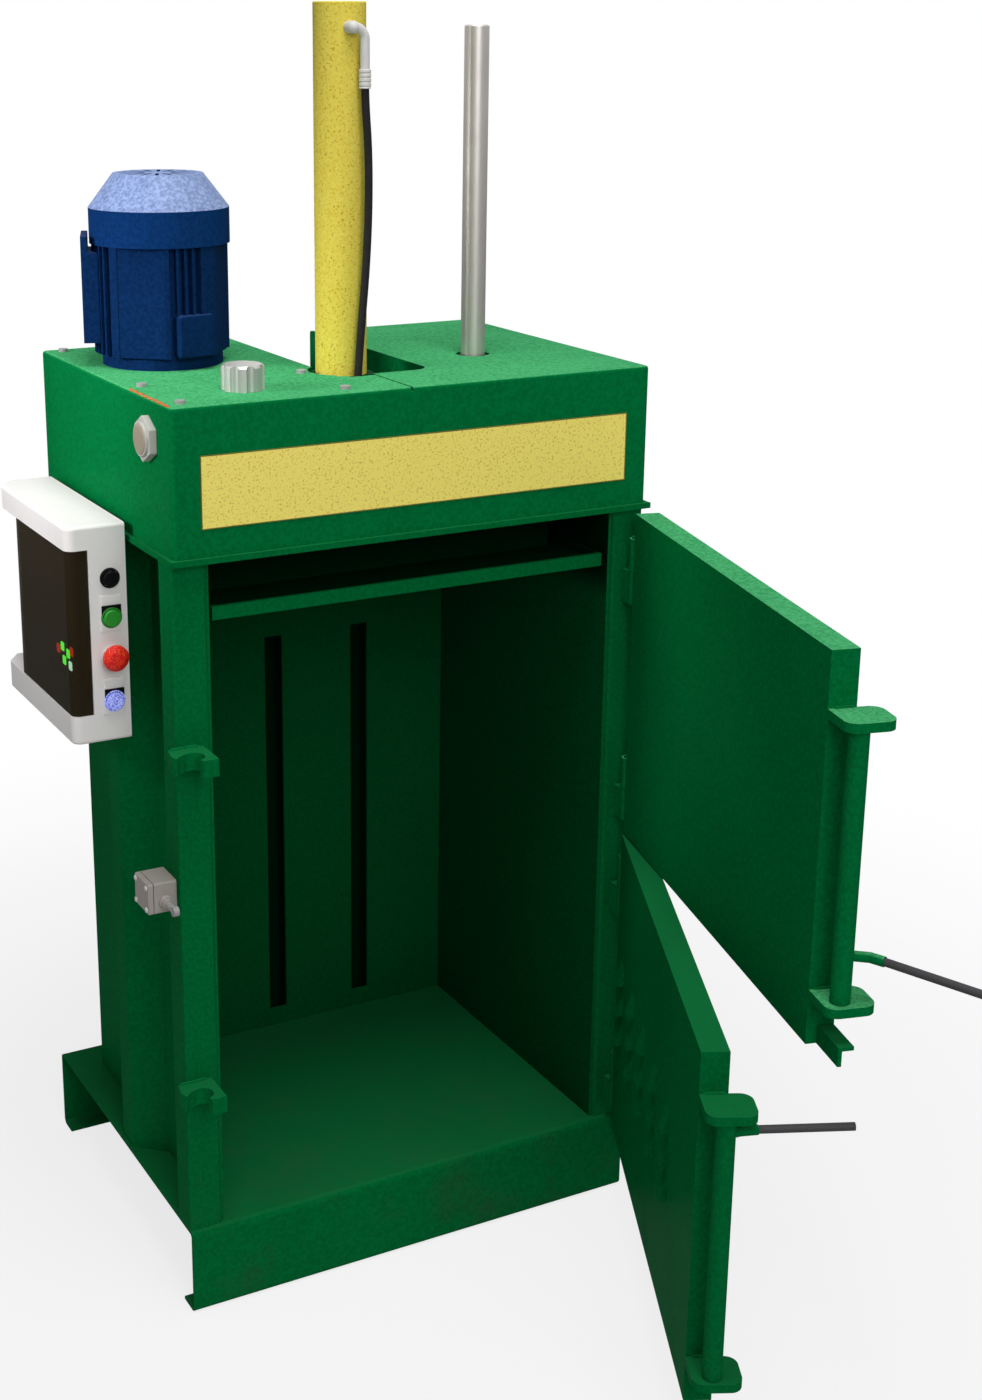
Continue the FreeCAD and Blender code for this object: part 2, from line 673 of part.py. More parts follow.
def make_press_rods():
    piston = d.cylinder_bore - d.running_gap
    press = new_body("piston_rod")
    turned(press, [(0, d.beam_top), (d.rod_radius, d.beam_top), (d.rod_radius, d.piston_place),
                   (piston, d.piston_place), (piston, d.piston_place + d.piston_height),
                   (0, d.piston_place + d.piston_height)], cylinder_x, cylinder_y)
    guide = new_body("guide_rod")
    turned(guide, [(0, d.beam_top), (d.guide_radius, d.beam_top), (d.guide_radius, d.guide_top - 2),
                   (d.guide_radius - 2, d.guide_top), (0, d.guide_top)], guide_x, guide_y)
    return [press, guide]


def make_platen():
    """A shallow tray: a thick plate with a low edge all round."""
    body = new_body("platen")
    half = d.platen_width / 2
    y0 = front + d.platen_setback
    y1 = y0 + d.platen_depth
    edge = d.platen_edge
    pad(body, outline_sketch(body, d.platen_bottom, rectangle(-half, y0, half, y1)), d.platen_lip)
    hollow = outline_sketch(body, d.platen_bottom + d.platen_plate,
                            rectangle(edge - half, y0 + edge, half - edge, y1 - edge))
    pocket(body, hollow, d.platen_lip, along_normal=True)
    return body


def make_platen_beams():
    """Two box beams on the plate. The front one carries both rods in sockets."""
    low = d.platen_bottom + d.platen_plate
    half = d.platen_width / 2 - d.beam_inset
    middle = (cylinder_y + guide_y) / 2
    beams = []
    places = ((middle - d.beam_depth / 2, middle + d.beam_depth / 2, d.beam_top),
              (front + d.rear_beam_place, front + d.rear_beam_place + d.beam_depth / 2, d.rear_beam_top))
    for index, (y0, y1, top) in enumerate(places):
        outside = block("beam_outside_%d" % index, -half, y0, low, half, y1, top)
        inside = block("beam_inside_%d" % index, -half, y0 + d.beam_sheet, low, half, y1 - d.beam_sheet,
                       top - d.beam_sheet)
        beams.append(cut("beam_%d" % index, outside, [inside]))
    sockets = []
    for name, x, y, radius in (("rod", cylinder_x, cylinder_y, d.rod_radius),
                               ("guide", guide_x, guide_y, d.guide_radius)):
        outer = rod(name + "_socket_outside", x, y, d.beam_top, radius + d.socket_wall, d.socket_height)
        inner = rod(name + "_socket_inside", x, y, d.beam_top, radius + d.fit_gap, d.socket_height)
        sockets.append(cut(name + "_socket", outer, [inner]))
    return group("platen_beams", [fuse("front_beam", [beams[0]] + sockets), beams[1]])


# ---------------------------------------------------------------------------------------------------------
# Doors, hinges and locks. A door is drawn shut about its hinge line, which is the local Z axis: the panel runs
# towards -X, its inner face looks to +Y. It is then turned about that line and moved to its place.
# ---------------------------------------------------------------------------------------------------------
inner_face = d.hinge_offset
outer_face = d.hinge_offset - d.door_thickness
journal_x = -(d.door_reach + d.journal_reach)
journal_y = inner_face - d.journal_out


def turn_open(piece, angle):
    """Carry a piece from the hinge line's own frame to its place on the open door."""
    bind(piece, "Placement.Rotation.Angle", angle)
    piece.Placement = Placement(Vector(0, 0, 0), Rotation(Vector(0, 0, 1), angle.value))
    set_place(piece, hinge_x, hinge_y, 0)
    return piece


# Where the two channels lie, as shares of the door's height
DOOR_RIBS = (0.3, 0.7)


def make_door(label, z0, z1, angle):
    """A folded pan with return lips, closed by two channels across its outer side."""
    sheet_in = d.door_sheet
    x0 = -d.door_reach
    x1 = -d.door_start
    pan = block(label + "_blank", x0, outer_face, z0, x1, inner_face, z1)
    hollow = block(label + "_hollow", x0 + sheet_in, outer_face + sheet_in, z0 + sheet_in, x1 - sheet_in,
                   inner_face - sheet_in, z1 - sheet_in)
    lip = d.door_return
    mouth = block(label + "_mouth", x0 + lip, outer_face - 1, z0 + lip, x1 - lip, inner_face - sheet_in,
                  z1 - lip)
    folded = cut(label + "_pan", pan, [hollow, mouth])
    pieces = [folded]
    for index, share in enumerate(DOOR_RIBS):
        middle = z0 + (z1 - z0) * share
        low = middle - d.rib_width / 2
        high = middle + d.rib_width / 2
        outside = block("%s_rib_%d_outside" % (label, index), x0 + sheet_in, outer_face + sheet_in, low,
                        x1 - sheet_in, inner_face - sheet_in, high)
        inside = block("%s_rib_%d_inside" % (label, index), x0 + sheet_in, outer_face + 2 * sheet_in,
                       low + sheet_in, x1 - sheet_in, inner_face - sheet_in, high - sheet_in)
        pieces.append(cut("%s_rib_%d" % (label, index), outside, [inside]))
    return turn_open(group(label, pieces), angle)


def hinge_places(z0, z1):
    """The bottoms of the two hinges of a door."""
    whole = 2 * d.knuckle_height + d.knuckle_gap
    return [z0 + d.hinge_low, z1 - d.hinge_high - whole]


def make_door_leaf(label, z):
    """The turning half of a hinge: a knuckle with a web to the door's edge."""
    barrel = rod(label + "_barrel", 0, 0, z, d.knuckle_radius, d.knuckle_height)
    web = block(label + "_web", -d.door_start, -d.leaf_width / 4, z, 0, d.leaf_width / 4, z + d.knuckle_height)
    bore = rod(label + "_bore", 0, 0, z, d.pin_radius + d.running_gap, d.knuckle_height)
    return cut(label, fuse(label + "_solid", [barrel, web]), [bore])


def make_lug(label, z):
    """A plate on the door's free edge with the hole for the lock's journal."""
    x1 = -d.door_reach
    x0 = x1 - d.lug_reach
    y1 = inner_face
    y0 = y1 - d.lug_depth
    body = new_body(label)
    sketch = outline_sketch(body, z, rectangle(x0, y0, x1, y1))
    circle(sketch, journal_x, journal_y, d.journal_radius + d.running_gap)
    pad(body, sketch, d.lug_height)
    round_edges(body, d.lug_round, upright_at([(x0, y0), (x0, y1), (x1, y0)]))
    return body


def make_door_fittings(label, z0, z1, low, high, angle):
    """The two lock lugs and the two hinge leaves that are welded to a door."""
    lugs = [make_lug(label + "_lug_low", low), make_lug(label + "_lug_high", high)]
    leaves = []
    for index, bottom in enumerate(hinge_places(z0, z1)):
        upper_half = bottom + d.knuckle_height + d.knuckle_gap
        leaves.append(make_door_leaf("%s_leaf_%d" % (label, index), upper_half))
    return turn_open(group(label + "_fittings", lugs + leaves), angle)


def make_frame_hinges():
    """The fixed half of each hinge, welded to the right column, and the pins."""
    leaves = []
    pins = []
    for door, z0, z1 in (("upper", d.upper_bottom, d.upper_top), ("lower", d.lower_bottom, d.lower_top)):
        for index, low in enumerate(hinge_places(z0, z1)):
            name = "%s_hinge_%d" % (door, index)
            half = d.leaf_width / 2
            barrel = rod(name + "_barrel", hinge_x, hinge_y, low, d.knuckle_radius, d.knuckle_height)
            web = block(name + "_web", hinge_x - half, hinge_y, low, hinge_x + half, column_front,
                        low + d.knuckle_height)
            bore = rod(name + "_bore", hinge_x, hinge_y, low, d.pin_radius + d.running_gap, d.knuckle_height)
            leaves.append(cut(name, fuse(name + "_solid", [barrel, web]), [bore]))
            whole = 2 * d.knuckle_height + d.knuckle_gap
            pins.append(rod(name + "_pin", hinge_x, hinge_y, low - d.pin_end,
                            d.pin_radius, whole + 2 * d.pin_end))
    return [group("hinge_leaves", leaves), group("hinge_pins", pins)]


def make_striker():
    """An angle on the upper door's free edge that presses the limit switch when the door is shut."""
    x1 = -d.door_reach
    x0 = x1 - d.striker_reach
    y1 = inner_face - d.striker_out
    top = d.upper_bottom + d.striker_height
    leg = block("striker_leg", x0, y1 - d.striker_sheet, d.upper_bottom, x1, y1, top)
    shelf = block("striker_shelf", x0, y1 - d.striker_shelf, top - d.striker_sheet, x1, y1, top)
    return turn_open(fuse("door_striker", [leg, shelf]), d.upper_angle)


def make_teeth():
    """Wedges on the lower door's inner face: flush at the top, standing out at the bottom."""
    teeth = []
    for column in range(SIZES["tooth_columns"]):
        for line in range(SIZES["tooth_rows"]):
            body = new_body("tooth_%d_%d" % (column, line))
            middle = -(d.tooth_start + column * d.tooth_pitch + d.door_start)
            top = d.tooth_top - line * d.tooth_row_pitch
            sketch = new_sketch(body, "YZ_Plane", middle - d.tooth_width / 2)
            polygon(sketch, [(inner_face, top), (inner_face, top - d.tooth_height),
                             (inner_face + d.tooth_depth, top - d.tooth_height)])
            pad(body, sketch, d.tooth_width)
            teeth.append(body)
    return turn_open(group("bale_teeth", teeth), d.lower_angle)


# Bends of the levers and their ends: how far along the door, and how far out from its inner face
UPPER_LEVER = [(717, 36), (724.7, 52.9), (739.2, 64.6), (846, 141.5)]
LOWER_LEVER = [(712, 45), (709, 67), (705, 186)]


def make_lock(label, low, lug_high, angle, bar_angle, lever, lever_place):
    """A bar between two journals that are off its middle and turn in the lugs, with its lever."""
    turn = math.radians(bar_angle.value)
    bar_x = journal_x + d.eccentric * math.cos(turn)
    bar_y = journal_y + d.eccentric * math.sin(turn)
    bar_low = low + d.lug_height + d.bar_clearance
    bar_high = lug_high - d.bar_clearance
    bar = rod(label + "_bar", bar_x, bar_y, bar_low, d.bar_radius, bar_high - bar_low)
    reach = d.lug_height + d.bar_clearance + d.journal_overlap
    bottom = rod(label + "_journal_low", journal_x, journal_y, low, d.journal_radius, reach)
    top = rod(label + "_journal_high", journal_x, journal_y, bar_high - d.journal_overlap, d.journal_radius,
              reach)
    points = [Vector(bar_x.value, bar_y.value, lever_place.value)]
    points += [Vector(-along, inner_face.value - out, lever_place.value) for along, out in lever]
    arm = free_form(label + "_arm", swept_rod(points[:-1], d.arm_radius.value))
    shaft = fuse(label, [bottom, bar, top, arm])
    sleeve = straight_rod(points[-2], points[-1], d.grip_radius.value)
    grip = free_form(label + "_grip", sleeve.cut(arm.Shape))
    return [turn_open(shaft, angle), turn_open(grip, angle)]


def straight_rod(start, finish, radius):
    return Part.makeCylinder(radius, (finish - start).Length, start, finish - start)


def swept_rod(points, radius):
    """Straight bars with a ball at each bend."""
    solid = straight_rod(points[0], points[1], radius)
    for start, finish in zip(points[1:], points[2:]):
        solid = solid.fuse(Part.makeSphere(radius, start)).fuse(straight_rod(start, finish, radius))
    return solid.removeSplitter()


# The hook's corners and the middle of its recess, from the journal's axis
HOOK_BACK = [(-25, 20), (-20.4, 10.6), (-15.1, 17), (-5.2, 23), (6.4, -7.3)]
HOOK_ROOT = -21
HOOK_TIP = 7.1
HOOK_RECESS = (2.6, 9.45)


def make_hook(label, z):
    """A C-shaped plate on the left column: the turned lock bar is caught in its recess."""
    body = new_body(label)
    jx = hinge_x + journal_x
    jy = hinge_y + journal_y
    right_side = hinge_x - d.door_reach - d.hook_edge_gap
    tip = column_front - d.column_setback - d.hook_front
    corners = [(jx + HOOK_ROOT, column_front)] + [(jx + x, jy + y) for x, y in HOOK_BACK]
    corners += [(jx + HOOK_TIP, tip), (right_side, tip), (right_side, column_front)]
    pad(body, outline_sketch(body, z, corners), d.hook_height)
    recess = new_sketch(body, "XY_Plane", z)
    circle(recess, jx + HOOK_RECESS[0], jy + HOOK_RECESS[1], d.recess_radius)
    pocket(body, recess, d.hook_height, along_normal=True)
    return body


# ---------------------------------------------------------------------------------------------------------
# Oil tank, pump and what stands on the cover
# ---------------------------------------------------------------------------------------------------------
def make_tank():
    x0 = head_left + d.tank_left
    x1 = head_left + d.tank_right
    y0 = front + d.tank_front
    y1 = front + d.tank_rear
    wall = d.tank_sheet
    rim = d.tank_rim
    outside = block("tank_outside", x0, y0, shell_bottom, x1, y1, shell_top)
    inside = block("tank_inside", x0 + wall, y0 + wall, shell_bottom + wall, x1 - wall, y1 - wall,
                   shell_top - d.rim_sheet)
    mouth = block("tank_mouth", x0 + rim, y0 + rim, shell_bottom + wall, x1 - rim, y1 - rim, shell_top + 1)
    stem = level_rod("tank_gauge_hole", x0 - 1, front + d.gauge_back, d.gauge_place,
                     d.gauge_stem + d.screw_clearance, wall + 2, Vector(1, 0, 0))
    holes = [rod("tank_screw_hole_%d" % index, x, y, shell_top - d.rim_sheet - 1,
                 d.screw_radius + d.screw_clearance, d.rim_sheet + 2)
             for index, (x, y) in enumerate(screw_places)]
    return cut("oil_tank", outside, [inside, mouth, stem] + holes)


def make_filler():
    neck = new_body("filler_neck")
    low = shell_top - d.neck_drop
    top = d.head_top + d.neck_rise
    turned(neck, [(d.neck_radius - d.neck_wall, low), (d.neck_radius, low), (d.neck_radius, top),
                  (d.neck_radius - d.neck_wall, top)], filler_x, filler_y)
    cap = new_body("filler_cap")
    bottom = d.head_top + d.part_gap
    top = d.head_top + d.filler_height
    hollow = d.head_top + d.neck_rise + d.part_gap
    bore = d.neck_radius + d.part_gap
    radius = d.filler_radius
    turned(cap, [(bore, bottom), (radius, bottom), (radius, top - 3), (radius - 3, top), (0, top),
                 (0, hollow), (bore, hollow)], filler_x, filler_y)
    flute = new_sketch(cap, "XY_Plane", bottom)
    circle(flute, radius + d.flute_radius - d.flute_depth, 0, d.flute_radius)
    groove = pocket(cap, flute, d.filler_height, along_normal=True)
    ring = cap.newObject("PartDesign::PolarPattern", "filler_cap_flutes")
    ring.Originals = [groove]
    ring.Axis = (flute, ["N_Axis"])
    ring.Angle = 360
    ring.Occurrences = SIZES["flute_count"]
    cap.Tip = ring
    return [neck, cap]


def make_gauge():
    """A hexagonal oil level plug with a round glass."""
    body = new_body("level_gauge")
    y = front + d.gauge_back
    z = d.gauge_place
    corner = d.gauge_across / math.sqrt(3)
    hexagon = new_sketch(body, "YZ_Plane", head_left - d.gauge_rise)
    turns = [math.radians(60 * step + 30) for step in range(6)]
    polygon(hexagon, [(y + corner * math.cos(turn), z + corner * math.sin(turn)) for turn in turns])
    pad(body, hexagon, d.gauge_rise)
    ring = new_sketch(body, "YZ_Plane", head_left - d.gauge_rise)
    circle(ring, y, z, d.gauge_ring)
    pad(body, ring, d.gauge_ring_rise, backwards=True)
    stem = new_sketch(body, "YZ_Plane", head_left)
    circle(stem, y, z, d.gauge_stem)
    pad(body, stem, d.tank_left + d.tank_sheet + 3)
    lens = new_sketch(body, "YZ_Plane", head_left - d.gauge_rise - d.gauge_ring_rise)
    circle(lens, y, z, d.gauge_lens)
    pocket(body, lens, 3, along_normal=True)
    return body


def sector(label, radius, low, height, start, finish):
    """A wedge of a disc about the motor's axis."""
    piece = rod(label, motor_x, motor_y, low, radius, height)
    piece.Angle = finish - start
    piece.Placement = Placement(piece.Placement.Base, Rotation(Vector(0, 0, 1), start))
    set_place(piece, motor_x, motor_y, low)
    return piece


def motor_corner(radius, turn):
    """A place beside the motor's axis."""
    angle = math.radians(turn)
    return motor_x + radius * math.cos(angle), motor_y + radius * math.sin(angle)


def motor_pad(label, low, height, start, finish):
    """A block on the motor's side with a flat face across the chord between two angles."""
    body = new_body(label)
    inner = d.motor_core - d.fin_width
    corners = [motor_corner(inner, start), motor_corner(d.motor_pad_edge, start),
               motor_corner(d.motor_pad_edge, finish), motor_corner(inner, finish)]
    pad(body, outline_sketch(body, low, corners), height)
    return body


# The angles, from the machine's right, between which the motor's side isn't finned
MOTOR_BANDS = ((-158, -149.3), (-75.7, -58.5))
MOTOR_PADS = ((-149.3, -108), (-58.5, -14))
MOTOR_BOSS = (-106, -58)


def make_motor_housing():
    """A frame with upright fins, flat pads and a boss between them, and a shield under the cowl."""
    core = new_body("motor_core")
    bore = d.shaft_radius + d.running_gap
    low = d.head_top
    top = d.head_top + d.motor_height
    shield = d.cowl_radius - d.cowl_wall - d.fit_gap
    turned(core, [(bore, low), (d.motor_core, low), (d.motor_core, top), (shield, top),
                  (shield, top + d.shield_height), (bore, top + d.shield_height)], motor_x, motor_y)
    fin_low = low + d.foot_height
    fin_height = d.motor_height - d.foot_height
    sketch = new_sketch(core, "XY_Plane", fin_low)
    half = d.fin_width / 2
    polygon(sketch, rectangle(d.motor_core - half, -half, d.motor_radius, half))
    fin = pad(core, sketch, fin_height)
    ring = core.newObject("PartDesign::PolarPattern", "motor_fins")
    ring.Originals = [fin]
    ring.Axis = (sketch, ["N_Axis"])
    ring.Angle = 360
    ring.Occurrences = SIZES["fin_count"]
    core.Tip = ring
    core.Placement = Placement(core.Placement.Base, Rotation(Vector(0, 0, 1), SIZES["fin_phase"]))
    set_place(core, motor_x, motor_y, 0)
    document.recompute()
    bands = [sector("motor_band_%d" % index, d.motor_radius, fin_low, fin_height, start, finish)
             for index, (start, finish) in enumerate(MOTOR_BANDS)]
    boss = sector("motor_boss_blank", d.motor_radius + d.boss_rise, low + d.boss_low, d.boss_high - d.boss_low,
                  *MOTOR_BOSS)
    boss = smooth("motor_boss", boss, d.boss_edge, lambda edge, middle: (
        abs(middle.z - (low + d.boss_high).value) < 0.01
        and math.hypot(middle.x - motor_x.value, middle.y - motor_y.value) > d.motor_radius.value))
    bands.append(boss)
    solid = fuse("motor_outside", bands)
    inner = rod("motor_inside", motor_x, motor_y, low, d.motor_core - half, d.motor_height)
    shell = cut("motor_bands", solid, [inner])
    pads = [motor_pad("motor_pad_%d" % index, fin_low, fin_height, start, finish)
            for index, (start, finish) in enumerate(MOTOR_PADS)]
    return fuse("motor_housing", [core, shell] + pads)


def make_cowl():
    body = new_body("fan_cowl")
    low = d.head_top + d.motor_height
    ring = low + d.cowl_ring
    top = low + d.cowl_height
    wall = d.cowl_wall
    outer = d.cowl_radius
    turned(body, [(outer - wall, low), (outer, low), (outer, ring), (d.cowl_top, top), (0, top),
                  (0, top - wall), (d.cowl_top - wall, top - wall), (outer - wall, ring - wall / 2)],
           motor_x, motor_y)
    slot = new_sketch(body, "XY_Plane", top - 2 * wall)
    half = d.grille_width / 2
    polygon(slot, rectangle(d.grille_start, -half, d.grille_end, half))
    opening = pocket(body, slot, 3 * wall, along_normal=True)
    grille = body.newObject("PartDesign::PolarPattern", "cowl_grille")
    grille.Originals = [opening]
    grille.Axis = (slot, ["N_Axis"])
    grille.Angle = 360
    grille.Occurrences = SIZES["grille_count"]
    body.Tip = grille
    return body


def make_terminal_box():
    """A flat box on the motor's side whose lid stands up beside the cowl."""
    low = d.head_top + d.box_low
    high = d.head_top + d.box_high
    shoulder = d.head_top + d.box_shoulder
    inner = d.motor_core
    profile = new_body("terminal_box")
    sketch = new_sketch(profile, "XZ_Plane", -d.box_width / 2)
    polygon(sketch, [(inner, low), (d.box_reach, low), (d.box_reach, high), (d.box_reach - d.box_lid, high),
                     (d.box_reach - d.box_lid, shoulder), (inner, shoulder)])
    pad(profile, sketch, d.box_width)
    hollow = rod("terminal_box_seat", 0, 0, low - 1, d.motor_radius + d.fit_gap, d.motor_height)
    seated = cut("terminal_box_body", profile, [hollow])
    seated.Placement = Placement(Vector(0, 0, 0), Rotation(Vector(0, 0, 1), SIZES["box_angle"]))
    set_place(seated, motor_x, motor_y, 0)
    profile.Label = "terminal_box_profile"
    seated.Label = "terminal_box"
    return seated


def make_rotor():
    """The motor's shaft with the pump coupling, and the fan on its upper end."""
    low = shell_top - d.bell_height
    body = new_body("rotor_shaft")
    fan_low = d.head_top + d.motor_height + d.shield_height + d.fan_gap
    coupling_top = shell_top - d.coupling_drop
    shaft_top = fan_low + d.fan_height + 3
    shaft_low = low - d.pump_shaft_end
    turned(body, [(0, shaft_low), (d.pump_shaft, shaft_low), (d.pump_shaft, coupling_top - d.coupling_height),
                  (d.coupling_radius, coupling_top - d.coupling_height), (d.coupling_radius, coupling_top),
                  (d.shaft_radius, coupling_top), (d.shaft_radius, shaft_top), (0, shaft_top)],
           motor_x, motor_y)
    hub = rod("fan_hub", motor_x, motor_y, fan_low, d.fan_hub, d.fan_height)
    blades = []
    for index in range(SIZES["fan_blades"]):
        blade = block("fan_blade_%d" % index, 0, -d.blade_sheet / 2, 0, d.fan_radius, d.blade_sheet / 2,
                      d.fan_height)
        turn = 360 * index / SIZES["fan_blades"]
        blade.setExpression("Placement.Base.y", None)
        offset = Rotation(Vector(0, 0, 1), turn).multVec(Vector(0, -d.blade_sheet.value / 2, 0))
        blade.Placement = Placement(Vector(0, 0, 0), Rotation(Vector(0, 0, 1), turn))
        set_place(blade, motor_x + offset.x, motor_y + offset.y, fan_low)
        blades.append(blade)
    bore = rod("fan_bore", motor_x, motor_y, fan_low - 1, d.shaft_radius + d.running_gap, d.fan_height + 2)
    fan = cut("cooling_fan", fuse("fan_solid", [hub] + blades), [bore])
    return [body, fan]


def make_pump():
    """The bell housing under the cover, the gear pump below it and its suction filter."""
    top = shell_top
    low = shell_top - d.bell_height
    outer = rod("bell_outside", motor_x, motor_y, low, d.bell_radius, d.bell_height)
    inner = rod("bell_inside", motor_x, motor_y, low, d.bell_radius - d.bell_wall, d.bell_height)
    bell = cut("bell_housing", outer, [inner])
    half = d.pump_side / 2
    case = block("pump_case_blank", motor_x - half, motor_y - half, low - d.pump_height, motor_x + half,
                 motor_y + half, low)
    bore = rod("pump_bore", motor_x, motor_y, low - d.pump_shaft_end - 2,
               d.pump_shaft + d.running_gap, d.pump_shaft_end + 3)
    pump = cut("pump_case", case, [bore])
    filter_top = low - d.pump_height
    screen_low = filter_top - d.pipe_height - d.filter_height
    screen = rod("suction_filter", motor_x, motor_y, screen_low, d.filter_radius,
                 d.filter_height)
    pipe = rod("suction_pipe", motor_x, motor_y, filter_top - d.pipe_height, d.pipe_radius, d.pipe_height)
    return group("pump_unit", [bell, pump, screen, pipe])


# ---------------------------------------------------------------------------------------------------------
# Control enclosure
# ---------------------------------------------------------------------------------------------------------
case_right = head_left - d.case_gap
case_left = case_right - d.case_width
case_front = front + d.case_front
case_rear = front + d.case_rear
case_short_rear = front + d.case_short_rear
button_x = case_right - d.button_place
window_rear = front + d.window_rear
window_hinge_x = case_left + d.window_front - d.window_gap - d.barrel_radius
window_hinge_y = window_rear - d.window_gap - d.window_sheet / 2
BUTTONS = {"button_black": (11, 1088.5), "button_green": (12, 1032), "button_stop": (12, 976.4),
           "button_blue": (12.5, 911)}


def make_enclosure():
    """A moulded case with a strip of buttons, open where the smoked window wraps its outer front corner."""
    body = new_body("enclosure_blank")
    plan = [(case_right, case_front), (case_left, case_front), (case_left, case_short_rear),
            (case_left + d.case_chamfer, case_rear), (case_right, case_rear)]
    pad(body, outline_sketch(body, d.case_bottom, plan), d.case_top - d.case_bottom)
    round_edges(body, d.case_round, upright_at([(case_left, case_front), (case_left, case_short_rear)]))
    top_edge = SIZES["case_top"]
    low_edge = SIZES["case_bottom"]
    round_edges(body, d.case_edge, lambda edge, middle: (
        min(abs(middle.z - top_edge), abs(middle.z - low_edge)) < 1e-4
        and abs(middle.x - case_right.value) > 1))
    window = block("enclosure_window_opening", case_left - 1, case_front - 1, d.window_bottom,
                   case_left + d.window_front, case_rear + 1, d.window_top)
    pin = rod("enclosure_pin_hole", window_hinge_x, window_hinge_y, d.window_bottom - d.pin_end,
              d.window_pin + d.running_gap, d.window_top - d.window_bottom + 2 * d.pin_end)
    holes = [level_rod("enclosure_%s_bore" % name, button_x, case_front - 1, z, radius + d.button_gap,
                       d.button_bore + 1, Vector(0, 1, 0)) for name, (radius, z) in BUTTONS.items()]
    bezels = []
    for name, (radius, z) in BUTTONS.items():
        ring = level_rod("enclosure_%s_ring" % name, button_x, case_front - d.bezel_rise, z,
                         radius + d.bezel_wall, d.bezel_rise, Vector(0, 1, 0))
        hole = level_rod("enclosure_%s_ring_hole" % name, button_x, case_front - d.bezel_rise - 1, z,
                         radius + d.button_gap, d.bezel_rise + 2, Vector(0, 1, 0))
        bezels.append(cut("enclosure_%s_bezel" % name, ring, [hole]))
    bracket = block("enclosure_bracket", case_right, front + d.bracket_front, d.bracket_low,
                    wall_left - d.hat_depth, front + d.bracket_rear, d.bracket_high)
    moulded = cut("enclosure_case", body, [window, pin] + holes)
    return group("enclosure_housing", [fuse("enclosure_front", [moulded] + bezels), bracket])


def make_window():
    """The smoked cover: a long side with a short return at each end, and its hinge at the rear."""
    gap = d.window_gap
    x0 = case_left + d.window_setback
    y0 = case_front + d.window_setback
    x1 = case_left + d.window_front - gap
    y1 = window_rear - gap
    body = new_body("window_sheet")
    thick = d.window_sheet
    low = d.window_bottom + gap
    height = d.window_top - d.window_bottom - 2 * gap
    sketch = outline_sketch(body, low, [
        (x0, y0), (x1, y0), (x1, y0 + thick), (x0 + thick, y0 + thick), (x0 + thick, y1 - thick),
        (window_hinge_x, y1 - thick), (window_hinge_x, y1), (x0, y1)])
    pad(body, sketch, height)
    round_edges(body, d.case_round - d.window_setback, upright_at([(x0, y0)]))
    round_edges(body, d.case_round - d.window_setback - thick, upright_at([(x0 + thick, y0 + thick)]))
    barrel = rod("window_barrel", window_hinge_x, window_hinge_y, low, d.barrel_radius, height)
    pin = rod("window_pin", window_hinge_x, window_hinge_y, d.window_bottom - d.pin_end + gap, d.window_pin,
              d.window_top - d.window_bottom + 2 * d.pin_end - 2 * gap)
    return fuse("enclosure_window", [body, barrel, pin])


# Each module: how deep it lies behind the case's side, where it starts and ends, its foot and its top
MODULES = (("control_relay", 12.5, 40, 130, 930, 1080), ("terminal_row", 18.5, 140, 210, 950, 1000),
           ("breaker_row", 14.5, 140, 210, 1020, 1105))


def make_modules():
    """The control relay and its terminals, behind the window."""
    pieces = [block(name, case_left + deep, case_front + start, low, case_left + d.window_front,
                    case_front + finish, high) for name, deep, start, finish, low, high in MODULES]
    return group("control_modules", pieces)


# The outline of the emergency stop's head: radius, and height from the case's face
MUSHROOM = [(0, -24), (11, -23), (18.5, -17), (18.5, -12), (16, -8)]


def make_button(name, radius, z):
    """A push button: a cap with a rounded rim, or a wide mushroom on a stem."""
    edge = d.button_edge
    profile = [(0, -d.button_rise), (radius - edge, -d.button_rise), (radius, edge - d.button_rise)]
    if name == "button_stop":
        profile = MUSHROOM + [(radius, MUSHROOM[-1][1])]
    profile += [(radius, d.button_depth), (0, d.button_depth)]
    body = new_body(name)
    sketch = new_sketch(body, "XY_Plane")
    polygon(sketch, profile)
    feature = body.newObject("PartDesign::Revolution", name + "_turn")
    feature.Profile = sketch
    feature.ReferenceAxis = (sketch, ["V_Axis"])
    feature.Angle = 360
    set_place(body, button_x, case_front, z)
    document.recompute()
    return body


# ---------------------------------------------------------------------------------------------------------
# Limit switch
# ---------------------------------------------------------------------------------------------------------
plunger_x = left - d.plunger_inset
switch_face = front + d.switch_front


def make_switch():
    z1 = d.switch_bottom + d.switch_height
    case = block("switch_case", left - d.switch_width, switch_face, d.switch_bottom, left,
                 switch_face + d.switch_depth, z1)
    case = smooth("switch_round", case, d.switch_edge, lambda edge, middle: middle.x < left.value - 1)
    guide = level_rod("switch_guide", plunger_x, switch_face - d.guide_length, d.plunger_place,
                      d.plunger_radius + 3, d.guide_length, Vector(0, 1, 0))
    bore = level_rod("switch_bore", plunger_x, switch_face - d.guide_length - 1, d.plunger_place,
                     d.plunger_radius + d.running_gap, d.guide_length + d.plunger_bore, Vector(0, 1, 0))
    switch = cut("limit_switch", fuse("switch_body", [case, guide]), [bore])
    tip = hinge_y + inner_face - d.striker_out + d.part_gap
    roller_y = tip + d.roller_radius
    stem = level_rod("plunger_stem", plunger_x, roller_y, d.plunger_place, d.plunger_radius,
                     switch_face + d.plunger_tail - roller_y, Vector(0, 1, 0))
    roller = level_rod("plunger_roller", plunger_x - d.roller_width / 2, roller_y, d.plunger_place,
                       d.roller_radius, d.roller_width, Vector(1, 0, 0))
    return [switch, fuse("switch_plunger", [stem, roller])]


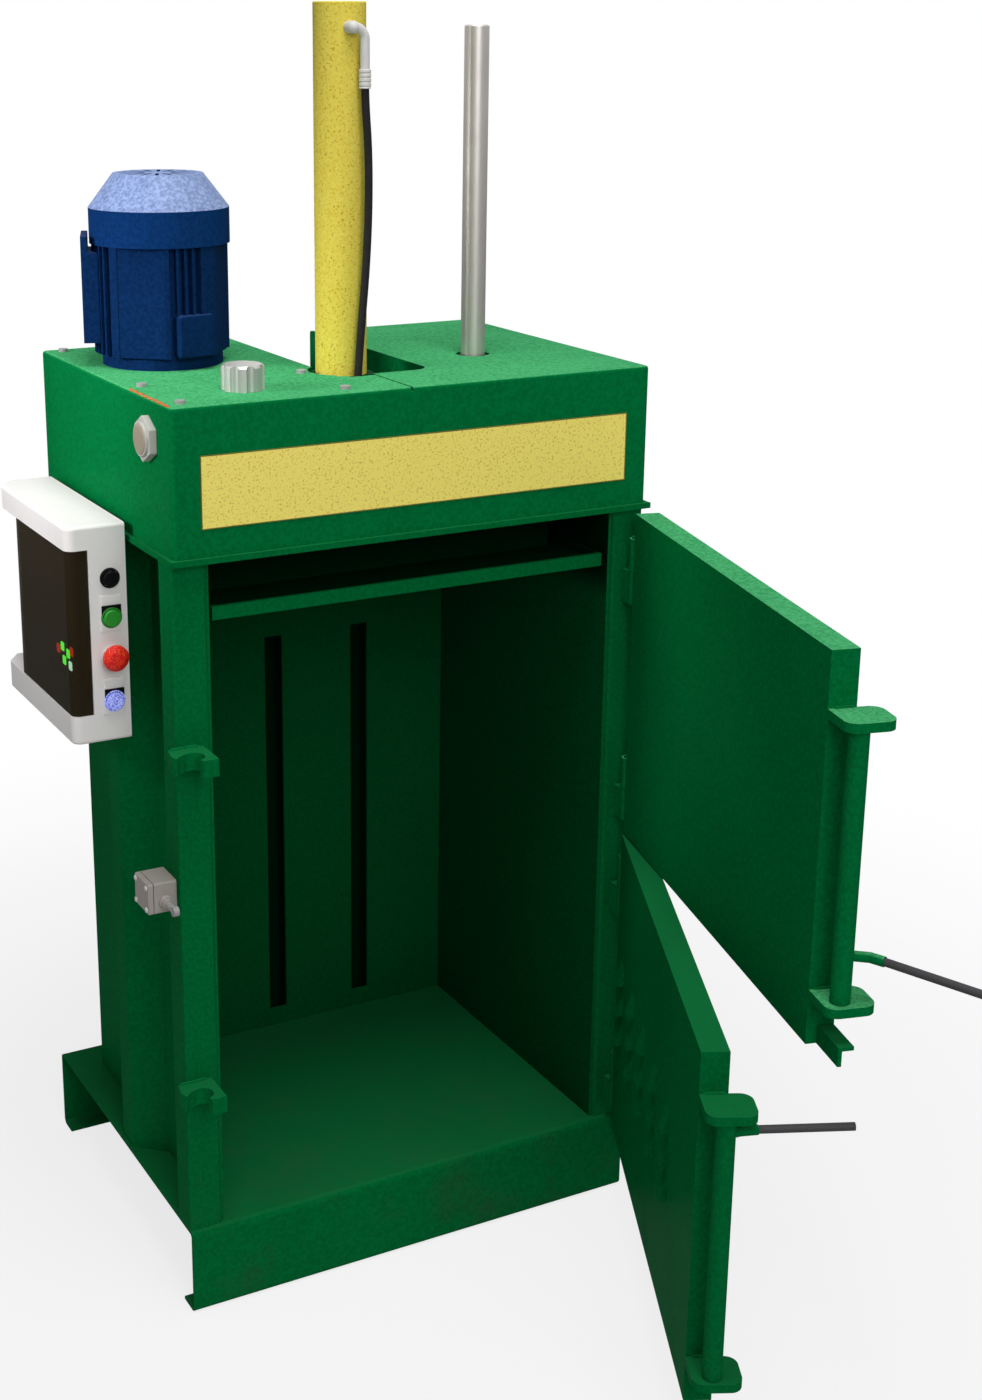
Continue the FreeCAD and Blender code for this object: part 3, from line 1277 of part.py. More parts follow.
# ---------------------------------------------------------------------------------------------------------
# Pressure hose: straight runs joined by tangent arcs, between the elbow and the port block
# ---------------------------------------------------------------------------------------------------------
hose_y = front + d.hose_back
HOSE_ROUTE = [(-28.5, 1756), (-28.5, 1722), (-23.2, 1655), (-22.8, 1580), (-26.5, 1500), (-35.5, 1405),
              (-42.5, 1310), (-44.5, 1250), (-44.5, 1200)]


# The share of the shorter of two runs that the bend between them takes up
BEND_SHARE = 0.45


def rounded_path(points):
    """Lines and arcs through the points. Each arc is as wide as its two runs allow."""
    edges = []
    start = points[0]
    for before, corner, after in zip(points, points[1:], points[2:]):
        into = (corner - before).normalize()
        out = (after - corner).normalize()
        half_turn = into.getAngle(out) / 2
        reach = BEND_SHARE * min((corner - before).Length, (after - corner).Length)
        radius = reach / math.tan(half_turn)
        print("hose bend of %.1f degrees, radius %.0f mm" % (math.degrees(2 * half_turn), radius))
        enter = corner - into * reach
        leave = corner + out * reach
        inward = (out - into).normalize()
        middle = corner + inward * (radius / math.cos(half_turn) - radius)
        edges.append(Part.LineSegment(start, enter).toShape())
        edges.append(Part.Arc(enter, middle, leave).toShape())
        start = leave
    edges.append(Part.LineSegment(start, points[-1]).toShape())
    return Part.Wire(edges)


def tube_along(path, radius):
    start = path.Vertexes[0].Point
    direction = path.Edges[0].tangentAt(path.Edges[0].FirstParameter)
    ring = Part.Wire([Part.makeCircle(radius, start, direction)])
    tube = path.makePipeShell([ring], True, False)
    print("tube volume %.0f, section times length %.0f" % (tube.Volume, math.pi * radius ** 2 * path.Length))
    return tube


def make_hose():
    """The silver elbow high on the cylinder, the hose, and the block that it ends in."""
    y = hose_y.value
    points = [Vector(x, y, z) for x, z in HOSE_ROUTE]
    hose = free_form("pressure_hose", tube_along(rounded_path(points), d.hose_radius.value))
    elbow_x = (head_left + d.elbow_across).value
    place = d.elbow_place.value
    bend = d.elbow_bend.value
    radius = d.elbow_radius.value
    down_x = points[0].x
    corner = Vector(down_x, y, place)
    turn = math.sqrt(0.5)
    pipe = Part.Wire([
        Part.LineSegment(Vector(elbow_x, y, place), corner - Vector(bend, 0, 0)).toShape(),
        Part.Arc(corner - Vector(bend, 0, 0), corner + Vector(bend * (turn - 1), 0, -bend * (1 - turn)),
                 corner - Vector(0, 0, bend)).toShape(),
        Part.LineSegment(corner - Vector(0, 0, bend), points[0]).toShape()])
    skin = cylinder_y.value - math.sqrt(SIZES["cylinder_outer"] ** 2 - (elbow_x - cylinder_x.value) ** 2)
    boss_radius = d.elbow_boss.value
    boss = straight_rod(Vector(elbow_x, y, place), Vector(elbow_x, skin + 2, place), boss_radius)
    boss = boss.fuse(Part.makeSphere(boss_radius, Vector(elbow_x, y, place)))
    barrel = Part.makeCylinder(SIZES["cylinder_outer"] + SIZES["running_gap"], 4 * boss_radius,
                               Vector(cylinder_x.value, cylinder_y.value, place - 2 * boss_radius))
    elbow = free_form("hose_elbow", tube_along(pipe, radius).fuse(boss).cut(barrel).removeSplitter())
    block_x = points[-1].x
    half = d.block_width / 2
    blank = block("port_block_blank", block_x - half, y - d.block_depth / 2, shell_bottom, block_x + half,
                  y + d.block_depth / 2, shell_bottom + d.block_height)
    collar = rod("port_block_seat", cylinder_x, cylinder_y, shell_bottom, d.cylinder_outer + d.collar_width,
                 d.block_height)
    base = cut("port_block_base", blank, [collar])
    ferrule = rod("port_block_ferrule", block_x, y, shell_bottom + d.block_height, d.ferrule_radius,
                  d.hose_bottom - shell_bottom - d.block_height)
    return [hose, elbow, fuse("port_block", [base, ferrule])]


# ---------------------------------------------------------------------------------------------------------
# Put it together
# ---------------------------------------------------------------------------------------------------------
keep(make_base())
keep(make_floor_ribs())
keep(make_column("column_left", left))
keep(make_column("column_right", right - d.column_side))
wall_front = front + d.wall_setback
keep(block("side_wall_left", wall_left, wall_front, floor_top, wall_left + d.wall_sheet,
           wall_front + d.wall_depth, d.frame_top))
keep(block("side_wall_right", wall_right - d.wall_sheet, wall_front, floor_top, wall_right,
           wall_front + d.wall_depth, d.frame_top))
side_hat = hat_profile(d.hat_depth, d.hat_flat, d.hat_foot, d.hat_sheet)
keep(make_hat("side_stiffener_left", wall_left, front + d.hat_setback, "-X", side_hat))
keep(make_hat("side_stiffener_right", wall_right, front + d.hat_setback, "+X", side_hat))
keep(make_back_wall())
back_hat = hat_profile(d.back_hat_depth, d.back_hat_flat, d.back_hat_foot, d.hat_sheet)
back_face = front + d.back_setback + d.wall_sheet
keep(group("back_stiffeners", [
    make_hat("back_stiffener_%d" % index, side * d.slot_pitch, back_face, "+Y", back_hat)
    for index, side in enumerate((-1, 0, 1))]))
keep(make_head_plate())
keep(make_head_shell())
keep(make_tank_cover())
keep(make_right_cover())
keep(make_cover_screws())
keep(make_name_plate())
for piece in make_cylinder():
    keep(piece)
keep(make_guide_bush())
for piece in make_press_rods():
    keep(piece)
keep(make_platen())
keep(make_platen_beams())
keep(make_tank())
for piece in make_filler():
    keep(piece)
keep(make_gauge())
keep(make_motor_housing())
keep(make_cowl())
keep(make_terminal_box())
for piece in make_rotor():
    keep(piece)
keep(make_pump())
keep(make_enclosure())
keep(make_window())
keep(make_modules())
for button, (radius, height) in BUTTONS.items():
    keep(make_button(button, radius, height))
for piece in make_switch():
    keep(piece)
for piece in make_hose():
    keep(piece)
for piece in make_frame_hinges():
    keep(piece)
keep(make_hook("hook_upper", d.upper_hook_place))
keep(make_hook("hook_lower", d.lower_hook_place))
keep(make_door("door_upper", d.upper_bottom, d.upper_top, d.upper_angle))
keep(make_door_fittings("door_upper", d.upper_bottom, d.upper_top, d.upper_lug_low, d.upper_lug_high,
                        d.upper_angle))
keep(make_striker())
keep(make_door("door_lower", d.lower_bottom, d.lower_top, d.lower_angle))
keep(make_door_fittings("door_lower", d.lower_bottom, d.lower_top, d.lower_lug_low, d.lower_lug_high,
                        d.lower_angle))
keep(make_teeth())
for piece in make_lock("lock_upper", d.upper_lug_low, d.upper_lug_high, d.upper_angle, d.upper_bar_angle,
                       UPPER_LEVER, d.upper_lever_place):
    keep(piece)
for piece in make_lock("lock_lower", d.lower_lug_low, d.lower_lug_high, d.lower_angle, d.lower_bar_angle,
                       LOWER_LEVER, d.lower_lever_place):
    keep(piece)

document.recompute()
faults = [item.Name for item in document.Objects if "Invalid" in item.State or "Error" in item.State]
if faults:
    raise RuntimeError("these objects failed: %s" % ", ".join(faults))
os.makedirs("parts", exist_ok=True)
for piece in parts:
    if piece.Shape.isNull() or not piece.Shape.isValid():
        raise RuntimeError("the shape of %s is not valid" % piece.Label)
    piece.Shape.exportStep("parts/%s.step" % piece.Label)
print("%d sub-parts" % len(parts))
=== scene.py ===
# %% [markdown]
# # A small vertical baler
#
# The real machine is a welded steel press that packs loose material. It stands on a folded base,
# has two doors at the front that cam locks draw shut, and a hydraulic cylinder that pushes a plate
# down through the chamber. Its steel is coated in a thick green enamel.
#
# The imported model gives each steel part's exact place and shape. This file adds what a drawing of
# the steel leaves out: enamel with its faint orange peel and dust, small fittings, glass and lamps.

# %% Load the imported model
import math

import bpy
import numpy as np
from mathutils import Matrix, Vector


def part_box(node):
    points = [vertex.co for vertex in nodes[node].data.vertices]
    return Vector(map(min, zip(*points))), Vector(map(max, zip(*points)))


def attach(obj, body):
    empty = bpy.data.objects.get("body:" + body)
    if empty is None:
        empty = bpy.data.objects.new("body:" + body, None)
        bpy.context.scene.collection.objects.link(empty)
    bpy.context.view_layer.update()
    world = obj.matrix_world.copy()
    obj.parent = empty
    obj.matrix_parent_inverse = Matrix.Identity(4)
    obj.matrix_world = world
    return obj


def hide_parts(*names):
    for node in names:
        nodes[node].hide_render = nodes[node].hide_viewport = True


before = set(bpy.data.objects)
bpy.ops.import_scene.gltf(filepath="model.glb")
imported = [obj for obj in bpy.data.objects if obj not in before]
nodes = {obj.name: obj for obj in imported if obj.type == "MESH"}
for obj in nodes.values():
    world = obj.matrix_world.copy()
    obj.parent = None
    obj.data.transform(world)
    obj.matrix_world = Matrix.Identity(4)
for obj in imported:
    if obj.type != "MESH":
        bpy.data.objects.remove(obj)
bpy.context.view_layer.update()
print("the packed model has %d nodes" % len(nodes))

# %% [markdown]
# The camera stands front left of the machine, about as high as its top, and looks down at it. It
# could be placed by eye. Here it was worked out from the machine's own upright, cross and depth
# lines, because then each piece can be checked along its own line of sight. The lens isn't a wide
# one, so that upright edges converge only gently. The small shift moves the picture on the sensor
# without turning the camera.

# %% Camera
TILT = math.radians(73.5957)
ROLL = math.radians(-0.0728)
TURN = math.radians(-27.2078)
camera_data = bpy.data.cameras.new("camera")
camera_data.sensor_width = 36
camera_data.lens = 51.109
camera_data.shift_x = 0.07647
camera_data.shift_y = -0.06728
camera_data.clip_start = 0.05
camera = bpy.data.objects.new("camera", camera_data)
bpy.context.scene.collection.objects.link(camera)
camera.location = (-1.2738, -2.6542, 1.8228)
camera.rotation_euler = (TILT, ROLL, TURN)
bpy.context.scene.camera = camera
bpy.context.scene.view_settings.view_transform = "Standard"
print("the camera stands at", tuple(camera.location))


# %% [markdown]
# Blender's shaders are graphs of nodes. They could be wired one by one, but sums are easier to read
# as sums. The first class holds one output socket. Adding, multiplying or comparing two of them
# puts a Math node into the material and gives back its output. The second class collects the nodes
# of one finish.

# %% Shader sums
class Value:
    """One output socket of a finish, with the usual signs as Math nodes."""

    def __init__(self, recipe, socket):
        self.recipe = recipe
        self.socket = socket

    def _math(self, operation, first, second=None, clamp=False):
        inputs = {0: first}
        if second is not None:
            inputs[1] = second
        return self.recipe.node("ShaderNodeMath", inputs, 0, operation=operation, use_clamp=clamp)

    def __add__(self, other):
        return self._math("ADD", self, other)

    def __sub__(self, other):
        return self._math("SUBTRACT", self, other)

    def __rsub__(self, other):
        return self._math("SUBTRACT", other, self)

    def __mul__(self, other):
        return self._math("MULTIPLY", self, other)

    def __pow__(self, other):
        return self._math("POWER", self, other)

    def __gt__(self, other):
        return self._math("GREATER_THAN", self, other)

    def __lt__(self, other):
        return self._math("LESS_THAN", self, other)

    __radd__ = __add__
    __rmul__ = __mul__

    def clamped(self):
        """The same, but never below 0 or above 1."""
        return self._math("ADD", self, 0.0, clamp=True)

    def absolute(self):
        return self._math("ABSOLUTE", self)

    def sine(self):
        return self._math("SINE", self)

    def ramp(self, low, high):
        """0 below low, 1 above high, smooth between."""
        inputs = {"Value": self, "From Min": low, "From Max": high}
        return self.recipe.node("ShaderNodeMapRange", inputs, "Result",
                                interpolation_type="SMOOTHSTEP")


class Recipe:
    """One finish being put together."""

    def __init__(self, name):
        self.material = bpy.data.materials.new(name)
        self.material.use_nodes = True
        self.tree = self.material.node_tree
        self.shader = self.tree.nodes["Principled BSDF"]

    def node(self, kind, inputs=None, output=0, **settings):
        """Add a node: settings first, then the values or links of its sockets."""
        node = self.tree.nodes.new(kind)
        for name, setting in settings.items():
            setattr(node, name, setting)
        for name, given in (inputs or {}).items():
            self._give(node.inputs[name], given)
        return Value(self, node.outputs[output])

    def _give(self, socket, given):
        """Link a Value, and set anything else. A colour of three numbers gets full alpha."""
        if isinstance(given, Value):
            self.tree.links.new(given.socket, socket)
        elif socket.type == "RGBA" and len(given) == 3:
            socket.default_value = (*given, 1)
        else:
            socket.default_value = given

    def place(self, stretch=(1, 1, 1)):
        """Where the point lies on the machine, in metres, each axis times its stretch."""
        point = self.node("ShaderNodeTexCoord", {}, "Object")
        if stretch == (1, 1, 1):
            return point
        return self.node("ShaderNodeMapping", {"Vector": point, "Scale": stretch}, "Vector")

    def _parts(self, vector):
        parts = self.node("ShaderNodeSeparateXYZ", {"Vector": vector}).socket.node.outputs
        return [Value(self, part) for part in parts]

    def axes(self):
        """The point's x, y and z."""
        return self._parts(self.place())

    def facing(self):
        """The x, y and z of the surface's direction."""
        return self._parts(self.node("ShaderNodeNewGeometry", {}, "Normal"))

    def noise(self, scale, detail=3.0, roughness=0.55, stretch=(1, 1, 1)):
        """Soft random values around a half. The scale is about the number of blots in a metre."""
        inputs = {"Vector": self.place(stretch), "Scale": scale, "Detail": detail,
                  "Roughness": roughness}
        return self.node("ShaderNodeTexNoise", inputs, 0)

    def mix(self, share, first, second):
        """First colour times (1 - share) plus second colour times share."""
        node = self.tree.nodes.new("ShaderNodeMix")
        node.data_type = "RGBA"
        factor, colour_a, colour_b, colour_out = 0, 6, 7, 2
        self._give(node.inputs[factor], share)
        self._give(node.inputs[colour_a], first)
        self._give(node.inputs[colour_b], second)
        return Value(self, node.outputs[colour_out])

    def bump(self, height, distance):
        """A surface direction that leans as if the height stood up by the distance, in metres."""
        inputs = {"Height": height, "Distance": distance, "Strength": 1.0}
        return self.node("ShaderNodeBump", inputs, "Normal")

    def finish(self, **sockets):
        """Fill the shader's own sockets and hand over the material."""
        for name, given in sockets.items():
            self._give(self.shader.inputs[name.replace("_", " ")], given)
        return self.material


# %% [markdown]
# Enamel is sprayed on thick. Up close it has orange peel, a fine waviness a few millimetres across,
# and a slight mottling of the colour. Faces that look up are paler, partly from dust and partly
# from a painted highlight, and the foot of the machine is dirtier than its head. A painted picture
# could carry all this, but it would need unfolding for each part. Noise on the place in metres
# needs none and runs on from part to part. What is paler on top is found from the surface's own
# direction.

# %% Enamel
# How many blots of each kind of noise there are in a metre.
CLOUDS, SMEARS, RIPPLE, GRAIN, SPECKS, FINE, PEEL = 3.5, 9, 160, 190, 330, 420, 520
# SHADED_GREEN is OPEN_GREEN a little darker: painted shade for parts under the head and in the
# chamber.
OPEN_GREEN = (0.0009, 0.170, 0.043), (0.0005, 0.113, 0.028)
SHADED_GREEN = (0.0009, 0.152, 0.038), (0.0005, 0.101, 0.025)
# Faces that look up get paler: dust, and a painted highlight on top faces.
GREEN_DUST_AND_HIGHLIGHT = (0.075, 0.42, 0.165)
DIRT = (0.03, 0.045, 0.03)
# The near black of the painted shade in the chamber.
PAINTED_SHADE_BLACK = (0.0003, 0.010, 0.003)
RUST_SPECK = (0.42, 0.20, 0.01)
DIRTY_BELOW, CLEAN_ABOVE, MOST_DIRT = 0.02, 0.35, 0.35
PAINT_GLOSS, PEEL_HEIGHT = 0.0015, 0.00012


def enamel(name, colours, rough=0.36, peel=PEEL_HEIGHT, speckle=0.0, dust_and_highlight=0.1, sheen=0.0,
           dust_and_highlight_colour=GREEN_DUST_AND_HIGHLIGHT, dust_and_highlight_from=0.6, painted_shade=None):
    """Two colours mixed by broad clouds and fine grain. Over them lie dirt near the floor, painted
    shade if a share of it is given, rust-coloured specks, and dust with a painted highlight where
    the surface's direction points up past the given level. A sheen is a dull clear coat on what
    looks up."""
    recipe = Recipe(name)
    broad = recipe.noise(CLOUDS, 3).ramp(0.25, 0.75)
    fine = recipe.noise(FINE, 2)
    grain = recipe.noise(GRAIN, 3, 0.7).ramp(0.38, 0.62)
    smears = recipe.noise(SMEARS, 4, 0.65)
    base = recipe.mix(broad * 0.3 + grain * 0.6, *colours)
    height = recipe.axes()[2]
    dirt = (1 - height.ramp(DIRTY_BELOW, CLEAN_ABOVE)) * smears.ramp(0.45, 0.8) * MOST_DIRT
    base = recipe.mix(dirt, base, DIRT)
    # Painted shade: the given share darkens the enamel towards near black.
    if painted_shade:
        base = recipe.mix(painted_shade(recipe).clamped(), base, PAINTED_SHADE_BLACK)
    if speckle:
        base = recipe.mix(recipe.noise(SPECKS, 2).ramp(0.55, 0.70) * speckle, base, RUST_SPECK)
    # Faces that look up turn paler: partly dust, partly a painted highlight.
    up = recipe.facing()[2].ramp(dust_and_highlight_from, dust_and_highlight_from + 0.38)
    dust_and_highlight_share = (up * (smears * 0.5 + fine * 0.4 + grain * 0.4) * dust_and_highlight).clamped()
    base = recipe.mix(dust_and_highlight_share, base, dust_and_highlight_colour)
    if sheen:
        recipe.finish(Coat_Weight=recipe.facing()[2].ramp(0.15, 0.45) * sheen, Coat_Roughness=0.55)
    waves = recipe.noise(PEEL, 1) * 0.6 + recipe.noise(RIPPLE, 1) * 0.4
    return recipe.finish(Base_Color=base, Specular_IOR_Level=PAINT_GLOSS,
                         Roughness=fine * 0.08 + dirt * 0.5 + dust_and_highlight_share * 1.2 + rough,
                         Normal=recipe.bump(waves, peel))


# %% [markdown]
# The chamber gets painted shade, darkest from the press plate up, where no light falls.
# Separate dark sheets could be laid over the steel, but they would stand proud of it. Each painted
# shade is a share instead: 0 is clean enamel and 1 is near black, worked out from where the point
# lies and which way its face looks.

# %% Painted shade in the chamber
SHADE_LOW, SHADE_HIGH = 0.99, 1.04
PLATE_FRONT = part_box("platen")[0].y


def above_the_platen(recipe):
    """Painted shade on faces that look to the front: 0.42, rising to 0.96 just under the
    press plate.
    """
    return (recipe.facing()[1] < -0.5) * (recipe.axes()[2].ramp(SHADE_LOW, SHADE_HIGH) * 0.54 + 0.42)


def inner_right(recipe):
    """Painted shade on faces that look to the left: 0.53, rising to 0.96 just under the
    press plate.
    """
    return (recipe.facing()[0] < -0.5) * (recipe.axes()[2].ramp(SHADE_LOW, SHADE_HIGH) * 0.43 + 0.53)


def behind_the_lip(recipe):
    """Painted shade: 0 at the press plate's front lip and 0.93 from 12 mm behind it."""
    return recipe.axes()[1].ramp(PLATE_FRONT + 0.004, PLATE_FRONT + 0.012) * 0.93


def inside_the_channels(recipe):
    """Only the channels' inner faces look to the front, and they get a black painted shade."""
    return (recipe.facing()[1] < -0.15) * 0.97


CYLINDER_YELLOW = (0.74, 0.64, 0.115), (0.68, 0.54, 0.065)
MOTOR_BLUE = (0.0044, 0.027, 0.107), (0.0026, 0.015, 0.062)
COWL_BLUE = (0.005, 0.038, 0.155), (0.003, 0.022, 0.095)
# The motor's and the cowl's pale tops are dust and a painted highlight.
MOTOR_DUST_AND_HIGHLIGHT, COWL_DUST_AND_HIGHLIGHT = (0.3, 0.36, 0.6), (0.37, 0.48, 0.80)
green = enamel("green_enamel", OPEN_GREEN, dust_and_highlight=1.25)
sheltered_green = enamel("sheltered_enamel", SHADED_GREEN, dust_and_highlight=0.12)
channel_green = enamel("channel_enamel", SHADED_GREEN, dust_and_highlight=0.12, painted_shade=inside_the_channels)
back_green = enamel("back_wall_enamel", SHADED_GREEN, dust_and_highlight=0.0, painted_shade=above_the_platen)
right_green = enamel("right_wall_enamel", SHADED_GREEN, dust_and_highlight=0.0, painted_shade=inner_right)
press_green = enamel("press_enamel", SHADED_GREEN, dust_and_highlight=0.0, painted_shade=behind_the_lip)
yellow = enamel("yellow_enamel", CYLINDER_YELLOW, 0.4, 0.00008, speckle=0.75, dust_and_highlight=0.0)
blue = enamel("blue_enamel", MOTOR_BLUE, 0.42, 0.0003, dust_and_highlight_colour=MOTOR_DUST_AND_HIGHLIGHT)
cowl_blue = enamel("cowl_enamel", COWL_BLUE, 0.4, 0.0002, dust_and_highlight=0.85, sheen=0.4,
                   dust_and_highlight_colour=COWL_DUST_AND_HIGHLIGHT, dust_and_highlight_from=0.25)
print("the press plate's lip lies at y = %.3f m" % PLATE_FRONT)


# %% [markdown]
# The remaining finishes are bare steel, plastics, rubber and glass. One flat colour and roughness
# would look like a toy's. Ground steel gets fine lines along the bar, made by noise that is
# stretched that way. Moulded plastic gets a faint cloud in its colour and a fine grain in its
# surface. Castings and zinc plate mirror little, so they are made the same way.

# %% Other finishes
# Blots in a metre: lines of the grinding wheel, clouds on a bar and on a moulding, and spots.
GRINDING, BAR_CLOUDS, MOULD_CLOUDS, SPOTS = 700, 14, 30, 560


def darker(colour, share):
    """Each part of the colour times the share."""
    return tuple(share * part for part in colour)


def plain_steel(name, colour=(0.62, 0.61, 0.59), rough=0.3, along=(1, 1, 0.04)):
    """Metal with a roughness of rough - 0.1, plus up to 0.16 from the lines and 0.1 from clouds."""
    recipe = Recipe(name)
    lines = recipe.noise(GRINDING, 2, 0.6, along)
    cloud = recipe.noise(BAR_CLOUDS, 3)
    base = recipe.mix(cloud.ramp(0.3, 0.7) * 0.4, colour, darker(colour, 0.75))
    return recipe.finish(Base_Color=base, Metallic=1.0, Normal=recipe.bump(lines, 0.00002),
                         Roughness=lines * 0.16 + cloud * 0.1 + rough - 0.1)


def plastic(name, colour, rough=0.45, grain=0.00006, scale=1500, gloss=0.25, spots=None,
            share=(0.56, 0.66)):
    """A clouded colour. Spots of another colour set in where fine noise passes from the first share
    to the second."""
    recipe = Recipe(name)
    cloud = recipe.noise(MOULD_CLOUDS, 3)
    base = recipe.mix(cloud * 0.3, colour, darker(colour, 0.8))
    if spots:
        base = recipe.mix(recipe.noise(SPOTS, 2).ramp(*share), base, spots)
    return recipe.finish(Base_Color=base, Specular_IOR_Level=gloss,
                         Roughness=cloud * 0.12 + rough - 0.06,
                         Normal=recipe.bump(recipe.noise(scale, 1), grain))


steel = plain_steel("ground_steel")
guide_steel = plain_steel("guide_steel", (0.56, 0.535, 0.50), 0.36)
cast_metal = plain_steel("cast_metal", (0.56, 0.56, 0.53), 0.42, (1, 1, 0.3))
dark_steel = plain_steel("blackened_steel", (0.06, 0.06, 0.065), 0.5)
casting = plastic("grey_casting", (0.33, 0.33, 0.32), 0.5, 0.0002, 600)
pale_casting = plastic("pale_casting", (0.46, 0.455, 0.42), 0.42, 0.0002, 600)
switch_grey = plastic("switch_casting", (0.36, 0.33, 0.30), 0.5, 0.00012, 900)
zinc = plastic("zinc_plate", (0.62, 0.61, 0.585), 0.3, 0.00003, 900)
black_rubber = plastic("black_rubber", (0.015, 0.015, 0.016), 0.6)
black_plastic = plastic("black_plastic", (0.006, 0.006, 0.007), 0.35, gloss=0.05)
pale_plastic = plastic("pale_grey_plastic", (0.80, 0.775, 0.765), 0.5)
green_plastic = plastic("green_plastic", (0.025, 0.28, 0.03), 0.3)
red_plastic = plastic("red_plastic", (0.74, 0.009, 0.010), 0.35, spots=(1.0, 0.22, 0.06))
blue_plastic = plastic("blue_plastic", (0.10, 0.15, 0.72), 0.3, spots=(0.62, 0.66, 0.98),
                       share=(0.42, 0.6))
# The faint glow of the blue plastic is painted light.
blue_shader = blue_plastic.node_tree.nodes["Principled BSDF"]
blue_shader.inputs["Emission Color"].default_value = (0.25, 0.30, 1.0, 1)
blue_shader.inputs["Emission Strength"].default_value = 0.25
grip_grey = plastic("grip_sleeve", (0.062, 0.060, 0.064), 0.5, gloss=0.12)
module_grey = plastic("module_plastic", (0.03, 0.03, 0.032), 0.5)

glass_recipe = Recipe("smoked_plastic")
smoked = glass_recipe.finish(Base_Color=(0.026, 0.019, 0.010), Alpha=0.84, Specular_IOR_Level=0.01,
                             Roughness=glass_recipe.noise(20, 2) * 0.06 + 0.12)
print("%d finishes so far" % len(bpy.data.materials))


# %% [markdown]
# The plate on the head is a bare yellow sheet with a thin dark line round its edge. The line could
# be four thin strips, but they would stand proud of the plate. It is part of the finish instead,
# and its place is worked out from the plate's own box, so that it follows the plate.

# %% Plate with a border
def plate_finish(name, node, line):
    """Yellow, and dark where the nearest edge of the plate is closer than the line is wide."""
    low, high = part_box(node)
    recipe = Recipe(name)
    across, _, up = recipe.axes()
    fine = recipe.noise(FINE, 2)
    base = recipe.mix(fine * 0.4, (0.93, 0.80, 0.19), (0.88, 0.72, 0.12))
    base = recipe.mix(recipe.noise(SPECKS, 2).ramp(0.54, 0.70) * 0.55, base, RUST_SPECK)
    side = (across - (low.x + high.x) / 2).absolute() > (high.x - low.x) / 2 - line
    end = (up - (low.z + high.z) / 2).absolute() > (high.z - low.z) / 2 - line
    base = recipe.mix((side + end).clamped() * 0.85, base, (0.03, 0.05, 0.01))
    print("the plate is %.0f x %.0f mm" % (1000 * (high.x - low.x), 1000 * (high.z - low.z)))
    return recipe.finish(Base_Color=base, Roughness=fine * 0.1 + 0.36, Specular_IOR_Level=0.1,
                         Normal=recipe.bump(recipe.noise(PEEL, 1), 0.00005))


plate_yellow = plate_finish("plate_enamel", "name_plate", 0.0014)

# %% [markdown]
# The imported model's parts get their finishes here, all but the motor's housing and the limit
# switch, which finer pieces replace. A part keeps its mesh and only its list of materials is
# filled, so nothing moves. Parts under the head get a darker green as painted shade, and less dust
# and painted highlight than the top.

# %% Which part has which finish
FINISHES = {
    green: "head_shell tank_cover right_cover door_upper door_upper_fittings lock_upper",
    back_green: "back_wall",
    right_green: "side_wall_right",
    press_green: "platen platen_beams oil_tank",
    channel_green: "back_stiffeners",
    sheltered_green: ("base_frame floor_ribs column_left column_right side_wall_left"
                      " side_stiffener_left side_stiffener_right head_plate hinge_leaves hinge_pins"
                      " hook_upper hook_lower door_striker door_lower door_lower_fittings"
                      " bale_teeth lock_lower"),
    yellow: "cylinder_tube cylinder_cap",
    plate_yellow: "name_plate",
    blue: "terminal_box",
    cowl_blue: "fan_cowl",
    steel: "piston_rod rotor_shaft filler_neck",
    guide_steel: "guide_rod",
    zinc: "hose_elbow port_block",
    dark_steel: "guide_bush cylinder_gland",
    casting: "pump_unit switch_plunger cover_screws",
    pale_casting: "level_gauge",
    cast_metal: "filler_cap",
    black_rubber: "pressure_hose",
    black_plastic: "button_black cooling_fan",
    module_grey: "control_modules",
    pale_plastic: "enclosure_housing",
    smoked: "enclosure_window",
    green_plastic: "button_green",
    red_plastic: "button_stop",
    blue_plastic: "button_blue",
    grip_grey: "lock_upper_grip lock_lower_grip",
}
for finish, names in FINISHES.items():
    for name in names.split():
        mesh = nodes[name].data
        mesh.materials.clear()
        mesh.materials.append(finish)
print("%d parts have a finish" % sum(len(names.split()) for names in FINISHES.values()))

# %% [markdown]
# New pieces are grids of points. Each is worked out with numpy as a whole array: the rows follow
# one direction of the surface and the columns the other. Blender's own cylinders and cubes would be
# quicker, but they have sharp, plain edges. One helper joins the points to faces, and closes each
# open end with a fan.

# %% From grids to meshes
BODY = "machine"
RIGHT, UP, DOWN, FORWARD, LEFTWARD = (1, 0, 0), (0, 0, 1), (0, 0, -1), (0, -1, 0), (-1, 0, 0)


def ring_faces(rows, columns, start):
    """Point (row, column) has number start + row * columns + column. Each face joins it to the next
    row and the next column, which runs round. The two points after the grid are the middles of its
    end fans."""
    row, column = np.meshgrid(np.arange(rows - 1), np.arange(columns), indexing="ij")
    after = (column + 1) % columns
    here = start + row * columns
    above = here + columns
    quads = np.stack([here + column, here + after, above + after, above + column], -1)
    around = np.arange(columns)
    onwards = (around + 1) % columns
    first, last = start + rows * columns, start + rows * columns + 1
    top = start + (rows - 1) * columns
    low_fan = np.stack([np.full(columns, first), start + onwards, start + around], -1)
    high_fan = np.stack([np.full(columns, last), top + around, top + onwards], -1)
    return quads.reshape(-1, 4).tolist() + low_fan.tolist() + high_fan.tolist()


